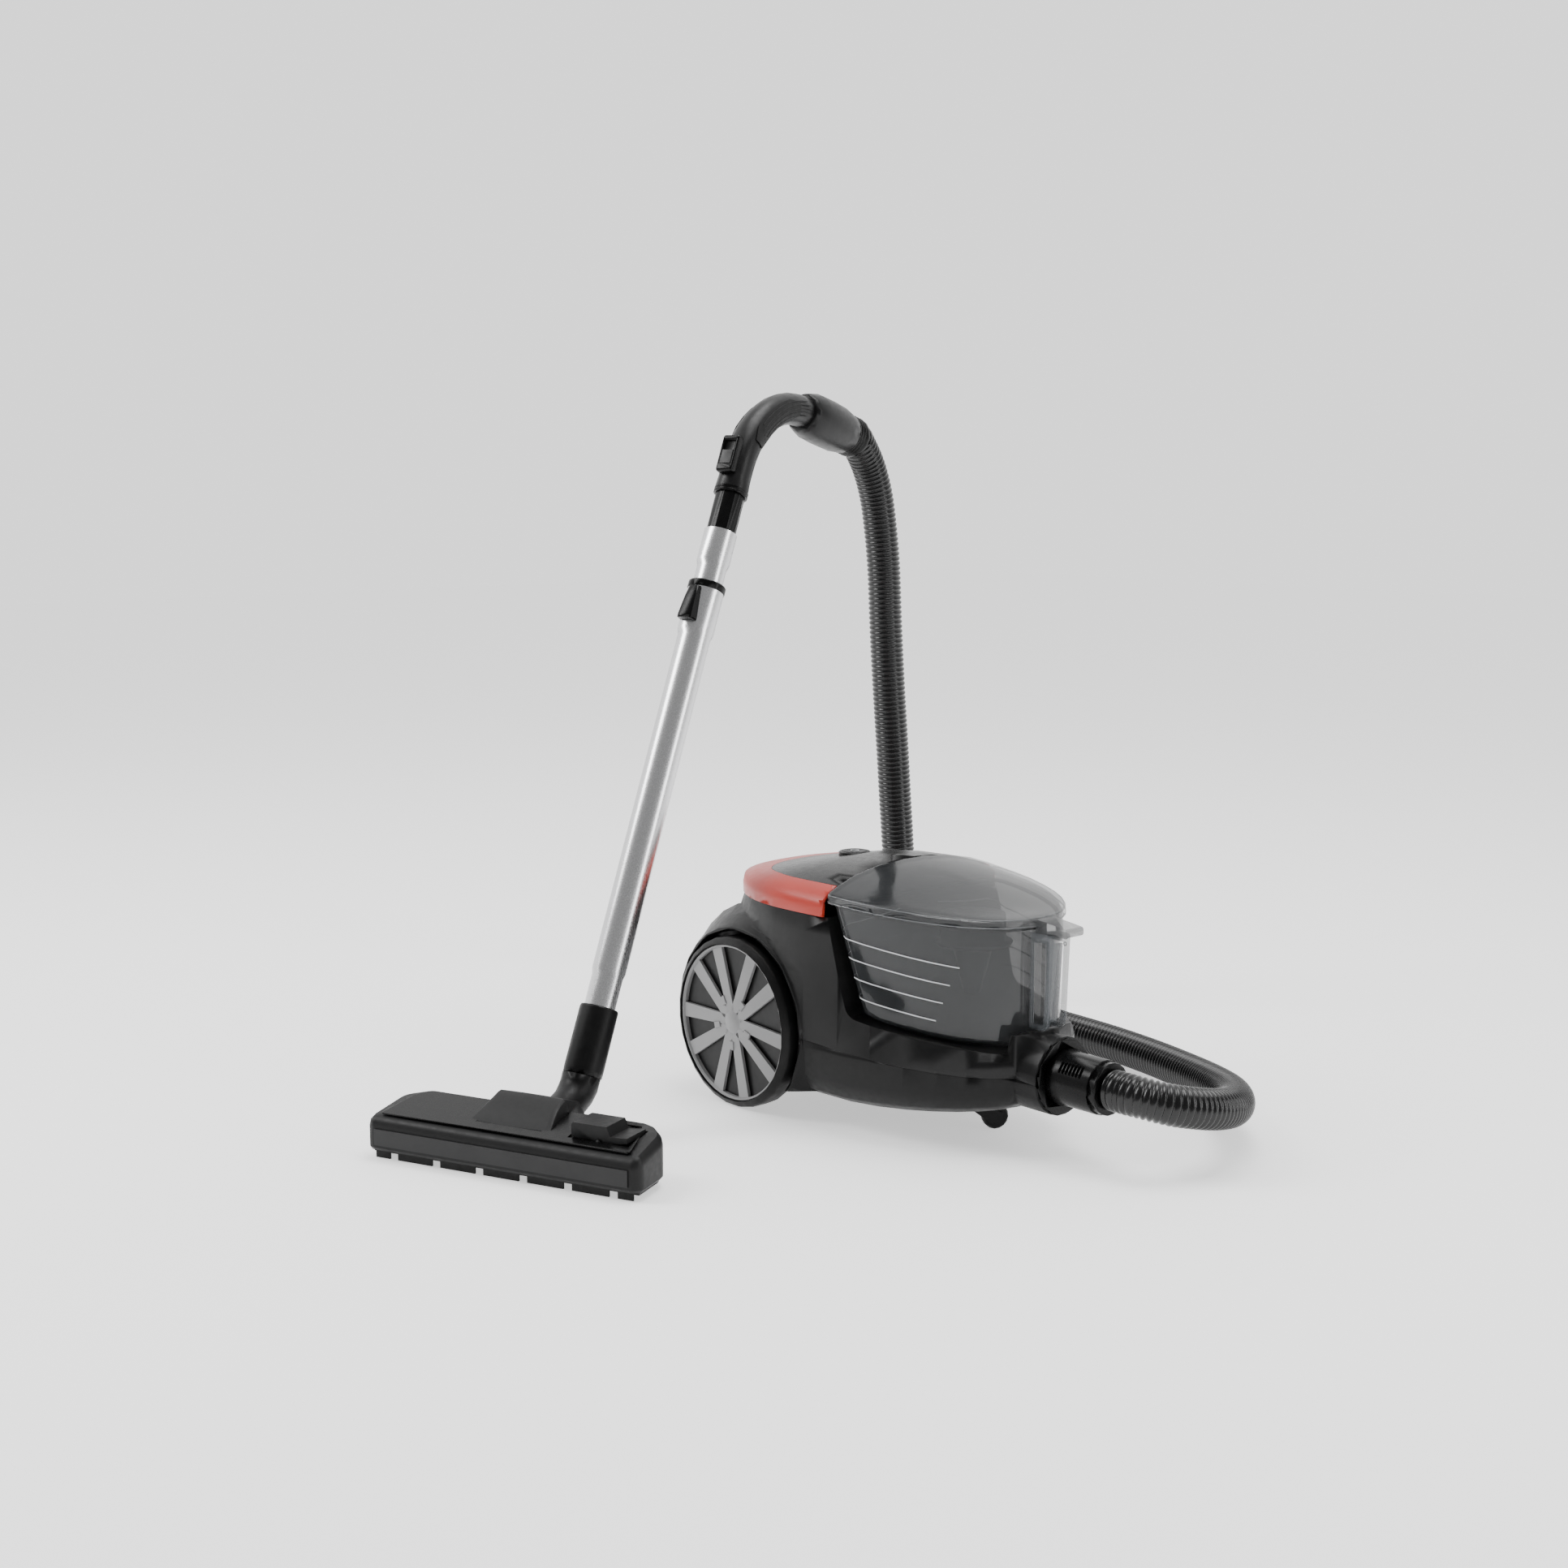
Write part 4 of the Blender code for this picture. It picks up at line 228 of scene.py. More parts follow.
wandTurn = (wandUp.to_track_quat("Z", "Y").inverted()).to_euler("XYZ")
finishes = {
    "chassis_black": moulded("chassisBlack", (0.0022, 0.0022, 0.0023), (0.36, 0.48)),
    "housing_black": moulded("housingBlack", (0.0040, 0.0040, 0.0042), (0.32, 0.42), specular=0.25),
    "cover_black": moulded(
        "coverBlack", (0.0015, 0.0015, 0.0016), (0.24, 0.32), grain=0, specular=0.16),
    "coral_paint": moulded(
        "coralPaint", (0.40, 0.030, 0.018), (0.30, 0.38), grain=0, patch=0.04, specular=0.4),
    "tyre_black": moulded("tyreRubber", (0.0018, 0.0018, 0.0018), (0.42, 0.55), grain=0.000006),
    "silver_paint": moulded(
        "hubcapSilver", (0.22, 0.22, 0.222), (0.34, 0.42), grain=0.000002, patch=0.05, specular=0.5),
    "steel": metal(
        "drawnSteel", (0.74, 0.74, 0.75), (0.20, 0.34), (12, 12, 0.12), tuple(wandTurn), 0.000004),
    "motor_zinc": metal("motorZinc", (0.50, 0.50, 0.51), (0.35, 0.5)),
    "smoked_clear": clearMoulding("smokedClear", (0.034, 0.036, 0.038), 0.56, (0.05, 0.12)),
    "smoke_grey": moulded("filterGrey", (0.030, 0.031, 0.033), (0.30, 0.4)),
    "rubber": moulded(
        "softRubber", (0.005, 0.005, 0.005), (0.5, 0.65), grain=0.000006, specular=0.25),
    "filter_foam": moulded(
        "filterFoam", (0.45, 0.45, 0.40), (0.85, 0.95), grain=0.0002, grainScale=600),
    "button_grey": moulded("buttonGrey", (0.020, 0.020, 0.021), (0.34, 0.42)),
    "board_green": moulded("boardGreen", (0.02, 0.10, 0.05), (0.4, 0.5)),
    "head_grey": moulded("headGrey", (0.0100, 0.0100, 0.0102), (0.42, 0.52), grain=0.000004),
    "strip_grey": moulded("stripGrey", (0.026, 0.026, 0.0265), (0.42, 0.5)),
    "brush_black": moulded("brushBlack", (0.006, 0.006, 0.006), (0.55, 0.7), specular=0.25),
}
hoseFinish = moulded("hoseBlack", (0.0030, 0.0030, 0.0032), (0.20, 0.30), grain=0, specular=0.4)
gripFinish = clearMoulding("gripClear", (0.11, 0.12, 0.13), 0.42, (0.04, 0.10))
# painted highlight: a light semi-clear grey for the thin lines along the lid rim's edges
rimHighlightFinish = clearMoulding("paintedRimHighlight", (0.26, 0.27, 0.28), 0.55, (0.05, 0.12))
lineFinish = moulded("printedWhite", (0.55, 0.56, 0.57), (0.4, 0.5), grain=0)
print("finishes mixed")


# ---- shared tools

def bodyOf(node):
    for body, members in frame["record"]["behaviour"]["bodies"].items():
        if node in members:
            return body
    return "root"


def slotOf(node):
    return frame["nodes"][node].data.materials[0].name.split(".")[0]


def makeObject(name, shape, material, sharp=32):
    mesh = bpy.data.meshes.new(name)
    shape.to_mesh(mesh)
    shape.free()
    mesh.materials.append(material)
    mesh.shade_smooth()
    mesh.set_sharp_from_angle(angle=math.radians(sharp))
    piece = bpy.data.objects.new(name, mesh)
    bpy.context.scene.collection.objects.link(piece)
    return piece


def frozen(piece):
    # turns live modifiers into plain mesh
    held = bpy.context.evaluated_depsgraph_get()
    held.update()
    mesh = bpy.data.meshes.new_from_object(piece.evaluated_get(held))
    if piece.type == "MESH":
        piece.modifiers.clear()
        piece.data = mesh
        return piece
    made = bpy.data.objects.new(piece.name + "Mesh", mesh)
    bpy.context.scene.collection.objects.link(made)
    bpy.data.objects.remove(piece)
    return made


def skinOf(node, sharp=32, material=None):
    # the moulding's skin: its points joined, its round faces smooth and its edges crisp
    shape = bmesh.new()
    shape.from_mesh(frame["nodes"][node].data)
    bmesh.ops.remove_doubles(shape, verts=shape.verts, dist=0.000004)
    piece = makeObject(node + "Skin", shape, material or finishes[slotOf(node)], sharp)
    weighted = piece.modifiers.new("even", "WEIGHTED_NORMAL")
    weighted.keep_sharp = True
    frozen(piece)
    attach(piece, bodyOf(node))
    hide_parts(node)
    return piece


# ---- hose

handle = {"bend": 78.2, "bendRadius": 0.115, "tube": 0.636, "collar": 0.025}
hose = {
    "radius": 0.0200, "rootRadius": 0.0176, "pitch": 0.0058, "sides": 30, "ringsPerRib": 6,
    "roundness": 0.75, "cuffFace": 0.4006, "sleeve": 0.1152, "straight": 0.008, "points": 260,
    "sleeveStart": (-0.240711, 0.237417, 0.722775), "machineAt": (-0.104472, 0.158095, 0),
    "route": [
        (0.430, 0.004, 0.0785), (0.452, 0.024, 0.072), (0.462, 0.062, 0.063),
        (0.455, 0.104, 0.054), (0.432, 0.146, 0.046), (0.395, 0.187, 0.039),
        (0.345, 0.222, 0.033), (0.285, 0.252, 0.028), (0.215, 0.278, 0.0245),
        (0.140, 0.296, 0.0225), (0.060, 0.306, 0.0215), (-0.020, 0.309, 0.0225),
        (-0.085, 0.308, 0.0310), (-0.140, 0.306, 0.0560), (-0.181, 0.303, 0.1010),
        (-0.2015, 0.300, 0.160), (-0.2030, 0.292, 0.240), (-0.1985, 0.281, 0.320),
        (-0.1945, 0.270, 0.400), (-0.1920, 0.262, 0.475), (-0.1900, 0.256, 0.5447),
        (-0.1872, 0.2475, 0.5920), (-0.1838, 0.2365, 0.6320), (-0.1790, 0.2195, 0.6650),
    ],
}


def smoothLine(points, count):
    # one smooth curve through the route's points, in even steps
    points = [Vector(p) for p in points]
    knots = [0.0]
    for here, there in zip(points, points[1:]):
        knots.append(knots[-1] + (there - here).length ** 0.5)

    def slope(i):
        if i in (0, len(points) - 1):
            a, b = (0, 1) if i == 0 else (i - 1, i)
            return (points[b] - points[a]) / (knots[b] - knots[a])
        before, after = knots[i] - knots[i - 1], knots[i + 1] - knots[i]
        steep = (points[i + 1] - points[i]) / after
        gentle = (points[i] - points[i - 1]) / before
        return (steep * before + gentle * after) / (before + after)

    fine = []
    for i in range(len(points) - 1):
        span = knots[i + 1] - knots[i]
        for k in range(40):
            t = k / 40
            leaving = (2 * t**3 - 3 * t**2 + 1) * points[i] + (t**3 - 2 * t**2 + t) * span * slope(i)
            fine.append(leaving + (3 * t**2 - 2 * t**3) * points[i + 1]
                        + (t**3 - t**2) * span * slope(i + 1))
    fine.append(points[-1])
    runs = [0.0]
    for here, there in zip(fine, fine[1:]):
        runs.append(runs[-1] + (there - here).length)
    even, k = [], 0
    for i in range(count):
        want = runs[-1] * i / (count - 1)
        while k < len(runs) - 2 and runs[k + 1] < want:
            k += 1
        even.append(fine[k].lerp(fine[k + 1], (want - runs[k]) / max(runs[k + 1] - runs[k], 1e-9)))
    return even


def curveFrom(name, points):
    data = bpy.data.curves.new(name, "CURVE")
    data.dimensions = "3D"
    line = data.splines.new("POLY")
    line.points.add(len(points) - 1)
    for spot, point in zip(line.points, points):
        spot.co = (*point, 1)
    piece = bpy.data.objects.new(name, data)
    bpy.context.scene.collection.objects.link(piece)
    return piece


def newTree(name, inputs):
    tree = bpy.data.node_groups.new(name, "GeometryNodeTree")
    tree.interface.new_socket("Geometry", in_out="INPUT", socket_type="NodeSocketGeometry")
    for label, kind, value in inputs:
        socket = tree.interface.new_socket(label, in_out="INPUT", socket_type=kind)
        if value is not None:
            socket.default_value = value
    tree.interface.new_socket("Geometry", in_out="OUTPUT", socket_type="NodeSocketGeometry")
    return tree, tree.nodes.new("NodeGroupInput"), tree.nodes.new("NodeGroupOutput")


def mathNode(tree, operation, first, second=None):
    node = tree.nodes.new("ShaderNodeMath")
    node.operation = operation
    for socket, value in zip(node.inputs, (first, second)):
        if value is None:
            continue
        if isinstance(value, (int, float)):
            socket.default_value = value
        else:
            tree.links.new(value, socket)
    return node.outputs[0]


def endTree(tree, source, inputs, output, smooth=True):
    # every tree ends in plain mesh with its finish on it
    shade = tree.nodes.new("GeometryNodeSetShadeSmooth")
    shade.inputs["Shade Smooth"].default_value = smooth
    plain = tree.nodes.new("GeometryNodeRealizeInstances")
    paint = tree.nodes.new("GeometryNodeSetMaterial")
    tree.links.new(source, plain.inputs["Geometry"])
    tree.links.new(plain.outputs["Geometry"], shade.inputs["Geometry"])
    tree.links.new(shade.outputs["Geometry"], paint.inputs["Geometry"])
    tree.links.new(inputs.outputs["Finish"], paint.inputs["Material"])
    tree.links.new(paint.outputs["Geometry"], output.inputs["Geometry"])


def useTree(piece, tree, values):
    modifier = piece.modifiers.new("nodes", "NODES")
    modifier.node_group = tree
    for item in tree.interface.items_tree:
        if item.in_out == "INPUT" and item.name in values:
            modifier[item.identifier] = values[item.name]
    return frozen(piece)


def ribbedTree():
    # a pipe along a curve whose radius swells and shrinks once for each rib
    tree, inputs, output = newTree("ribbedPipe", [
        ("Crest", "NodeSocketFloat", 0.02), ("Root", "NodeSocketFloat", 0.018),
        ("Pitch", "NodeSocketFloat", 0.006), ("Roundness", "NodeSocketFloat", 0.7),
        ("Rings", "NodeSocketInt", 6), ("Sides", "NodeSocketInt", 30),
        ("Finish", "NodeSocketMaterial", None)])
    steps = tree.nodes.new("GeometryNodeResampleCurve")
    steps.mode = "LENGTH"
    spline = tree.nodes.new("GeometryNodeSplineParameter")
    ring = tree.nodes.new("GeometryNodeCurvePrimitiveCircle")
    ring.inputs["Radius"].default_value = 1
    sweep = tree.nodes.new("GeometryNodeCurveToMesh")
    sweep.inputs["Fill Caps"].default_value = True
    ribs = mathNode(tree, "DIVIDE", spline.outputs["Length"], inputs.outputs["Pitch"])
    turn = mathNode(tree, "MULTIPLY", ribs, math.pi)
    swell = mathNode(tree, "POWER", mathNode(tree, "ABSOLUTE", mathNode(tree, "SINE", turn)),
                     inputs.outputs["Roundness"])
    depth = mathNode(tree, "SUBTRACT", inputs.outputs["Crest"], inputs.outputs["Root"])
    radius = mathNode(tree, "ADD", mathNode(tree, "MULTIPLY", swell, depth), inputs.outputs["Root"])
    tree.links.new(inputs.outputs["Geometry"], steps.inputs["Curve"])
    step = mathNode(tree, "DIVIDE", inputs.outputs["Pitch"], inputs.outputs["Rings"])
    tree.links.new(step, steps.inputs["Length"])
    tree.links.new(steps.outputs["Curve"], sweep.inputs["Curve"])
    tree.links.new(inputs.outputs["Sides"], ring.inputs["Resolution"])
    tree.links.new(ring.outputs["Curve"], sweep.inputs["Profile Curve"])
    tree.links.new(radius, sweep.inputs["Scale"])
    endTree(tree, sweep.outputs["Mesh"], inputs, output)
    return tree


def makeHose(values):
    slope = math.pi / 2 - wandLean - math.radians(handle["bend"])
    onward = Vector((
        math.cos(wandHeading) * math.cos(slope),
        math.sin(wandHeading) * math.cos(slope),
        math.sin(slope),
    ))
    cuffFace = Vector((values["cuffFace"], 0, cuffHeight))
    sleeveStart = Vector(values["sleeveStart"]) - Vector(values["machineAt"])
    sleeveEnd = sleeveStart + onward * values["sleeve"]
    fromCuff = cuffFace + Vector((values["straight"], 0, 0))
    intoSleeve = sleeveEnd + onward * values["straight"]
    bends = smoothLine([fromCuff, *values["route"], intoSleeve], values["points"])
    line = [axle + p for p in (cuffFace, *bends, sleeveEnd)]
    length = sum((b - a).length for a, b in zip(line, line[1:]))
    pitch = length / round(length / values["pitch"])
    pipe = useTree(curveFrom("hose", line), ribbedTree(), {
        "Crest": values["radius"], "Root": values["rootRadius"], "Pitch": pitch,
        "Rings": values["ringsPerRib"], "Sides": values["sides"],
        "Roundness": values["roundness"], "Finish": hoseFinish})
    pipe.name = "corrugatedHose"
    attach(pipe, "canister")
    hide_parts("hose")
    print("hose", round(length, 3), "m,", len(pipe.data.polygons), "faces")


makeHose(hose)


# ---- mouldings that keep their shape

skins = {}
for node in frame["nodes"]:
    if node not in ("hose", "hubcap_right", "hubcap_left", "container_grip"):
        skins[node] = skinOf(node)
print(len(skins), "skins finished")


def prismInto(shape, outline, low, high, place, chamfer=0.0):
    # a flat outline pushed from low to high along its own z, with its upper edge chamfered
    middle = sum((Vector((x, y)) for x, y in outline), Vector((0, 0))) / len(outline)
    levels = [(low, 0), (high - chamfer, 0), (high, chamfer)] if chamfer else [(low, 0), (high, 0)]
    rows = []
    for height, inset in levels:
        row = []
        for x, y in outline:
            inward = (middle - Vector((x, y)))
            x, y = Vector((x, y)) + inward.normalized() * inset
            row.append(shape.verts.new(place @ Vector((x, y, height))))
        rows.append(row)
    for here, there in zip(rows, rows[1:]):
        for i in range(len(outline)):
            j = (i + 1) % len(outline)
            shape.faces.new((here[i], here[j], there[j], there[i]))
    shape.faces.new(rows[0][::-1])
    shape.faces.new(rows[-1])


def turnedInto(shape, profile, place, steps=96):
    # a closed outline of (radius, height) turned about its own z
    rows = []
    for radius, height in profile:
        if radius < 1e-7:
            rows.append([shape.verts.new(place @ Vector((0, 0, height)))])
            continue
        turns = [2 * math.pi * k / steps for k in range(steps)]
        spots = [Vector((radius * math.cos(a), radius * math.sin(a), height)) for a in turns]
        rows.append([shape.verts.new(place @ spot) for spot in spots])
    for here, there in zip(rows, rows[1:] + rows[:1]):
        if len(here) == 1 and len(there) == 1:
            continue
        for i in range(steps):
            j = (i + 1) % steps
            ring = (here[i % len(here)], here[j % len(here)],
                    there[j % len(there)], there[i % len(there)])
            shape.faces.new(list(dict.fromkeys(ring)))


def closeUp(shape):
    bmesh.ops.remove_doubles(shape, verts=shape.verts, dist=0.000002)
    bmesh.ops.recalc_face_normals(shape, faces=shape.faces)
    return shape


def aroundTree():
    # copies a shape around an axis through a centre
    tree, inputs, output = newTree("aroundAxis", [
        ("Count", "NodeSocketInt", 5), ("Centre", "NodeSocketVector", (0, 0, 0)),
        ("Turn", "NodeSocketVector", (0, 0, 0)), ("Finish", "NodeSocketMaterial", None)])
    points = tree.nodes.new("GeometryNodeMeshLine")
    copies = tree.nodes.new("GeometryNodeInstanceOnPoints")
    index = tree.nodes.new("GeometryNodeInputIndex")
    scale = tree.nodes.new("ShaderNodeVectorMath")
    scale.operation = "SCALE"
    tree.links.new(inputs.outputs["Count"], points.inputs["Count"])
    tree.links.new(inputs.outputs["Centre"], points.inputs["Start Location"])
    points.inputs["Offset"].default_value = (0, 0, 0)
    tree.links.new(inputs.outputs["Turn"], scale.inputs[0])
    tree.links.new(index.outputs["Index"], scale.inputs["Scale"])
    tree.links.new(points.outputs["Mesh"], copies.inputs["Points"])
    tree.links.new(inputs.outputs["Geometry"], copies.inputs["Instance"])
    tree.links.new(scale.outputs["Vector"], copies.inputs["Rotation"])
    endTree(tree, copies.outputs["Instances"], inputs, output, smooth=False)
    return tree


# ---- hubcaps: five pairs of flat spokes over a dark dish

hubcap = {
    "radius": 0.0820, "rimWidth": 0.0030, "hubRadius": 0.0135,
    "spokeAtRim": 0.0078, "spokeAtHub": 0.0056,
    "pairs": 5, "openHalf": 15.5, "spokeGap": 0.0040, "thickness": 0.0034, "sunk": 0.0021,
    "lozengeAt": 0.0245, "turn": 20,
}


def makeHubcap(name, side, values):
    low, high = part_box("hubcap_" + name)
    centre = (low + high) / 2
    outer = high.y if side > 0 else low.y
    # own z points out of the wheel
    turn = Matrix.Rotation(math.radians(-90 * side), 4, "X")
    place = Matrix.Translation((centre.x, outer, centre.z)) @ turn
    face = -values["sunk"]
    spokes = bmesh.new()
    for hand in (1, -1):
        rim = math.radians(values["openHalf"]) * hand
        start = Vector((values["hubRadius"] * 0.75, values["spokeGap"] * hand))
        end = Vector((math.cos(rim), math.sin(rim))) * (values["radius"] - 0.002)
        along = (end - start).normalized()
        across = Vector((-along.y, along.x))
        a, b = values["spokeAtHub"], values["spokeAtRim"]
        outline = [start - across * a, end - across * b, end + across * b, start + across * a]
        foot = face - values["thickness"]
        prismInto(spokes, [tuple(p) for p in outline], foot, face, turn, 0.0007)
    x = values["lozengeAt"]
    lozenge = [(x - 0.0042, -0.0030), (x + 0.0052, -0.0036),
               (x + 0.0052, 0.0036), (x - 0.0042, 0.0030)]
    prismInto(spokes, lozenge, face - 0.001, face + 0.0012, turn, 0.0006)
    pair = makeObject("hubcapSpokes_" + name, closeUp(spokes), finishes["silver_paint"], 25)
    middle = Vector((centre.x, outer, centre.z))
    useTree(pair, aroundTree(), {
        "Count": values["pairs"], "Centre": tuple(middle),
        "Turn": (0, 2 * math.pi / values["pairs"], 0), "Finish": finishes["silver_paint"]})
    setTurn = Matrix.Rotation(math.radians(values["turn"]), 4, "Y")
    pair.data.transform(Matrix.Translation(middle) @ setTurn @ Matrix.Translation(-middle))
    ring = bmesh.new()
    r, w = values["radius"], values["rimWidth"]
    turnedInto(ring, [(r - w, face - 0.004), (r, face - 0.005), (r, -0.0006), (r - 0.0008, 0),
                      (r - w * 0.6, -0.0004), (r - w, face)], place)
    hub = values["hubRadius"]
    turnedInto(ring, [(0, face - 0.004), (hub, face - 0.004), (hub, face - 0.0004),
                      (hub - 0.004, face + 0.0006), (hub * 0.5, face + 0.0016),
                      (0, face + 0.0020)], place, 40)
    rim = makeObject("hubcapRim_" + name, closeUp(ring), finishes["silver_paint"], 30)
    dish = bmesh.new()
    turnedInto(dish, [(0, face - 0.0052), (r - 0.001, face - 0.0052), (r - 0.001, face - 0.0040),
                      (r * 0.6, face - 0.0046), (0, face - 0.0042)], place)
    back = makeObject("hubcapDish_" + name, closeUp(dish), finishes["housing_black"], 30)
    for piece in (pair, rim, back):
        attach(piece, name + "_wheel")
    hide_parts("hubcap_" + name)


makeHubcap("right", -1, hubcap)
makeHubcap("left", 1, hubcap)
print("hubcaps made")


# ---- printed lines on the container's sides

binMiddleX = 0.205
binMiddle = axle + Vector((binMiddleX, 0, 0))
castFrom = 0.3
printed = {
    "heights": (0.2075, 0.1885, 0.1695, 0.1505), "ends": (0.268, 0.262, 0.256, 0.250),
    "fall": 0.115, "halfWidth": 0.00062, "lift": 0.00025, "steps": 90, "from": 158, "sweep": 123,
    "corner": 0.150, "cornerReach": 0.02, "cornerRise": 0.018, "sideFall": 0.06,
}


def surfaceOf(node):
    mesh = skins[node].data
    mesh.calc_loop_triangles()
    corners = [tuple(t.vertices) for t in mesh.loop_triangles]
    return BVHTree.FromPolygons([v.co for v in mesh.vertices], corners)


def lineOnSurface(tree, start, aim):
    hit, normal, _, _ = tree.ray_cast(start, aim)
    return (hit, normal) if hit else (None, None)


def makePrintedLines(values):
    tree = surfaceOf("dust_container")
    shape = bmesh.new()
    for hand in (-1, 1):
        for height, end in zip(values["heights"], values["ends"]):
            rows = []
            for k in range(values["steps"]):
                part = k / (values["steps"] - 1)
                # from just behind the rear corner along the side
                angle = math.radians(values["from"] - values["sweep"] * part)
                aim = Vector((math.cos(angle), math.sin(angle) * hand, 0))
                z = height - values["fall"] * (0.15 * part)
                start = binMiddle + aim * castFrom + Vector((0, 0, z))
                hit, normal = lineOnSurface(tree, start, -aim)
                if hit is None or hit.x - axle.x > end:
                    continue
                past = hit.x - axle.x - values["corner"]
                corner = 1.0
                if past < 0:
                    corner = max(0.0, 1 - abs(past) / values["cornerReach"])
                fall = max(0.0, past) * values["sideFall"]
                hit.z = z - fall + values["cornerRise"] * (1 - corner)
                lift = Vector((normal.x, normal.y, 0)).normalized() * values["lift"]
                half = Vector((0, 0, values["halfWidth"]))
                rows.append([hit + lift + half, hit + lift - half])
            for here, there in zip(rows, rows[1:]):
                top = [shape.verts.new(p) for p in (here[0], there[0], there[1], here[1])]
                shape.faces.new(top if hand < 0 else top[::-1])
    bmesh.ops.remove_doubles(shape, verts=shape.verts, dist=0.00001)
    lines = makeObject("printedLines", shape, lineFinish, 60)
    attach(lines, "container")


makePrintedLines(printed)
print("lines printed")


# ---- grip ribs of the cuff, in two short rows

cuff = {
    "count": 7, "pitch": 0.0042, "from": 0.3545, "radius": 0.0280, "height": 0.0007,
    "width": 0.0016, "middle": 38, "reach": 26, "steps": 12,
}


def makeCuffRibs(values):
    shape = bmesh.new()
    centre = axle + Vector((0, 0, cuffHeight))
    steps = values["steps"]
    for hand in (-1, 1):
        for k in range(values["count"]):
            x = values["from"] + values["pitch"] * k
            rows = []
            for i in range(steps + 1):
                turn = math.radians(values["reach"]) * (i / steps - 0.5)
                turn += math.radians(values["middle"])
                fade = min(1.0, 4 * min(i, steps - i) / steps)
                row = []
                for dx, rise in ((-0.5, 0.0), (-0.3, 1.0), (0.3, 1.0), (0.5, 0.0)):
                    r = values["radius"] - 0.0011 + rise * (values["height"] * fade + 0.0012)
                    spot = Vector((
                        x + dx * values["width"], hand * math.cos(turn) * r, math.sin(turn) * r))
                    row.append(shape.verts.new(centre + spot))
                rows.append(row)
            for here, there in zip(rows, rows[1:]):
                for j in range(4):
                    m = (j + 1) % 4
                    shape.faces.new((here[j], here[m], there[m], there[j]))
            shape.faces.new(rows[0])
            shape.faces.new(rows[-1][::-1])
    ribs = makeObject("cuffRibs", closeUp(shape), finishes["cover_black"], 40)
    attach(ribs, "hose_end")


makeCuffRibs(cuff)
print("cuff ribs made")


# ---- clear grip: two thin loops with a web between them, and its bosses

grip = {"half": 0.013, "plate": 0.0036, "bar": 0.0052, "bossRadius": 0.0022}


def makeGrip(values):
    low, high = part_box("container_grip")
    foot, top, start, reach = low.z, high.z, low.x, high.x
    outer = [
        (start, foot), (reach - 0.009, foot), (reach - 0.0045, foot + 0.004),
        (reach - 0.003, foot + 0.018), (reach, top - 0.004), (reach - 0.001, top), (start, top),
    ]
    bar = values["bar"]
    inner = [
        (start + 0.0035, foot + bar), (reach - 0.011, foot + bar),
        (reach - 0.0092, foot + bar + 0.004), (reach - 0.0085, foot + 0.022),
        (reach - 0.0062, top - 0.010), (reach - 0.008, top - 0.009), (start + 0.0035, top - 0.009),
    ]
    shape = bmesh.new()
    for hand in (1, -1):
        far = axle.y + hand * values["half"]
        near = far - hand * values["plate"]
        rows = [[shape.verts.new((x, y, z)) for x, z in outline] for outline, y in (
            (outer, near), (outer, far), (inner, far), (inner, near))]
        for here, there in zip(rows, rows[1:] + rows[:1]):
            for i in range(len(outer)):
                j = (i + 1) % len(outer)
                shape.faces.new((here[i], here[j], there[j], there[i]))
    closeUp(shape)
    bmesh.ops.bevel(
        shape, geom=shape.edges[:], offset=0.0007, segments=2, profile=0.5, affect="EDGES")
    web = [(reach - 0.0135, foot + bar + 0.001), (reach - 0.0119, foot + bar + 0.001),
           (reach - 0.0065, top - 0.010), (reach - 0.0081, top - 0.010)]
    inside = values["half"] - values["plate"] + 0.0002
    rows = [[shape.verts.new((x, axle.y + hand * inside, z)) for x, z in web] for hand in (1, -1)]
    for i in range(4):
        j = (i + 1) % 4
        shape.faces.new((rows[0][i], rows[0][j], rows[1][j], rows[1][i]))
    shape.faces.new(rows[0][::-1])
    shape.faces.new(rows[1])
    r = values["bossRadius"]
    boss = [(r * 0.55, 0), (r, 0), (r, 0.0006), (r - 0.0003, 0.0008), (r * 0.55, 0.0008)]
    bosses = ((reach - 0.0135, top - 0.0045), (reach - 0.0060, top - 0.0050),
              (reach - 0.0068, top - 0.0115))
    for hand in (1, -1):
        outward = Matrix.Rotation(math.radians(-90 * hand), 4, "X")
        for x, z in bosses:
            spot = (x, axle.y + hand * (values["half"] - 0.0006), z)
            turnedInto(shape, boss, Matrix.Translation(spot) @ outward, 20)
    bmesh.ops.recalc_face_normals(shape, faces=shape.faces)
    piece = makeObject("gripLoops", shape, gripFinish, 35)
    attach(piece, "container")
    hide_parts("container_grip")


makeGrip(grip)
print("grip made")


# ---- painted highlights: light lines standing in for light caught on the lid rim's edges

rim = {
    "levels": (0.0016, 0.0085), "radius": 0.00055, "steps": 160, "half": 153,
    "rearX": 0.1270, "rearHeight": 0.2340, "fall": 0.067, "lift": 0.00005,
}


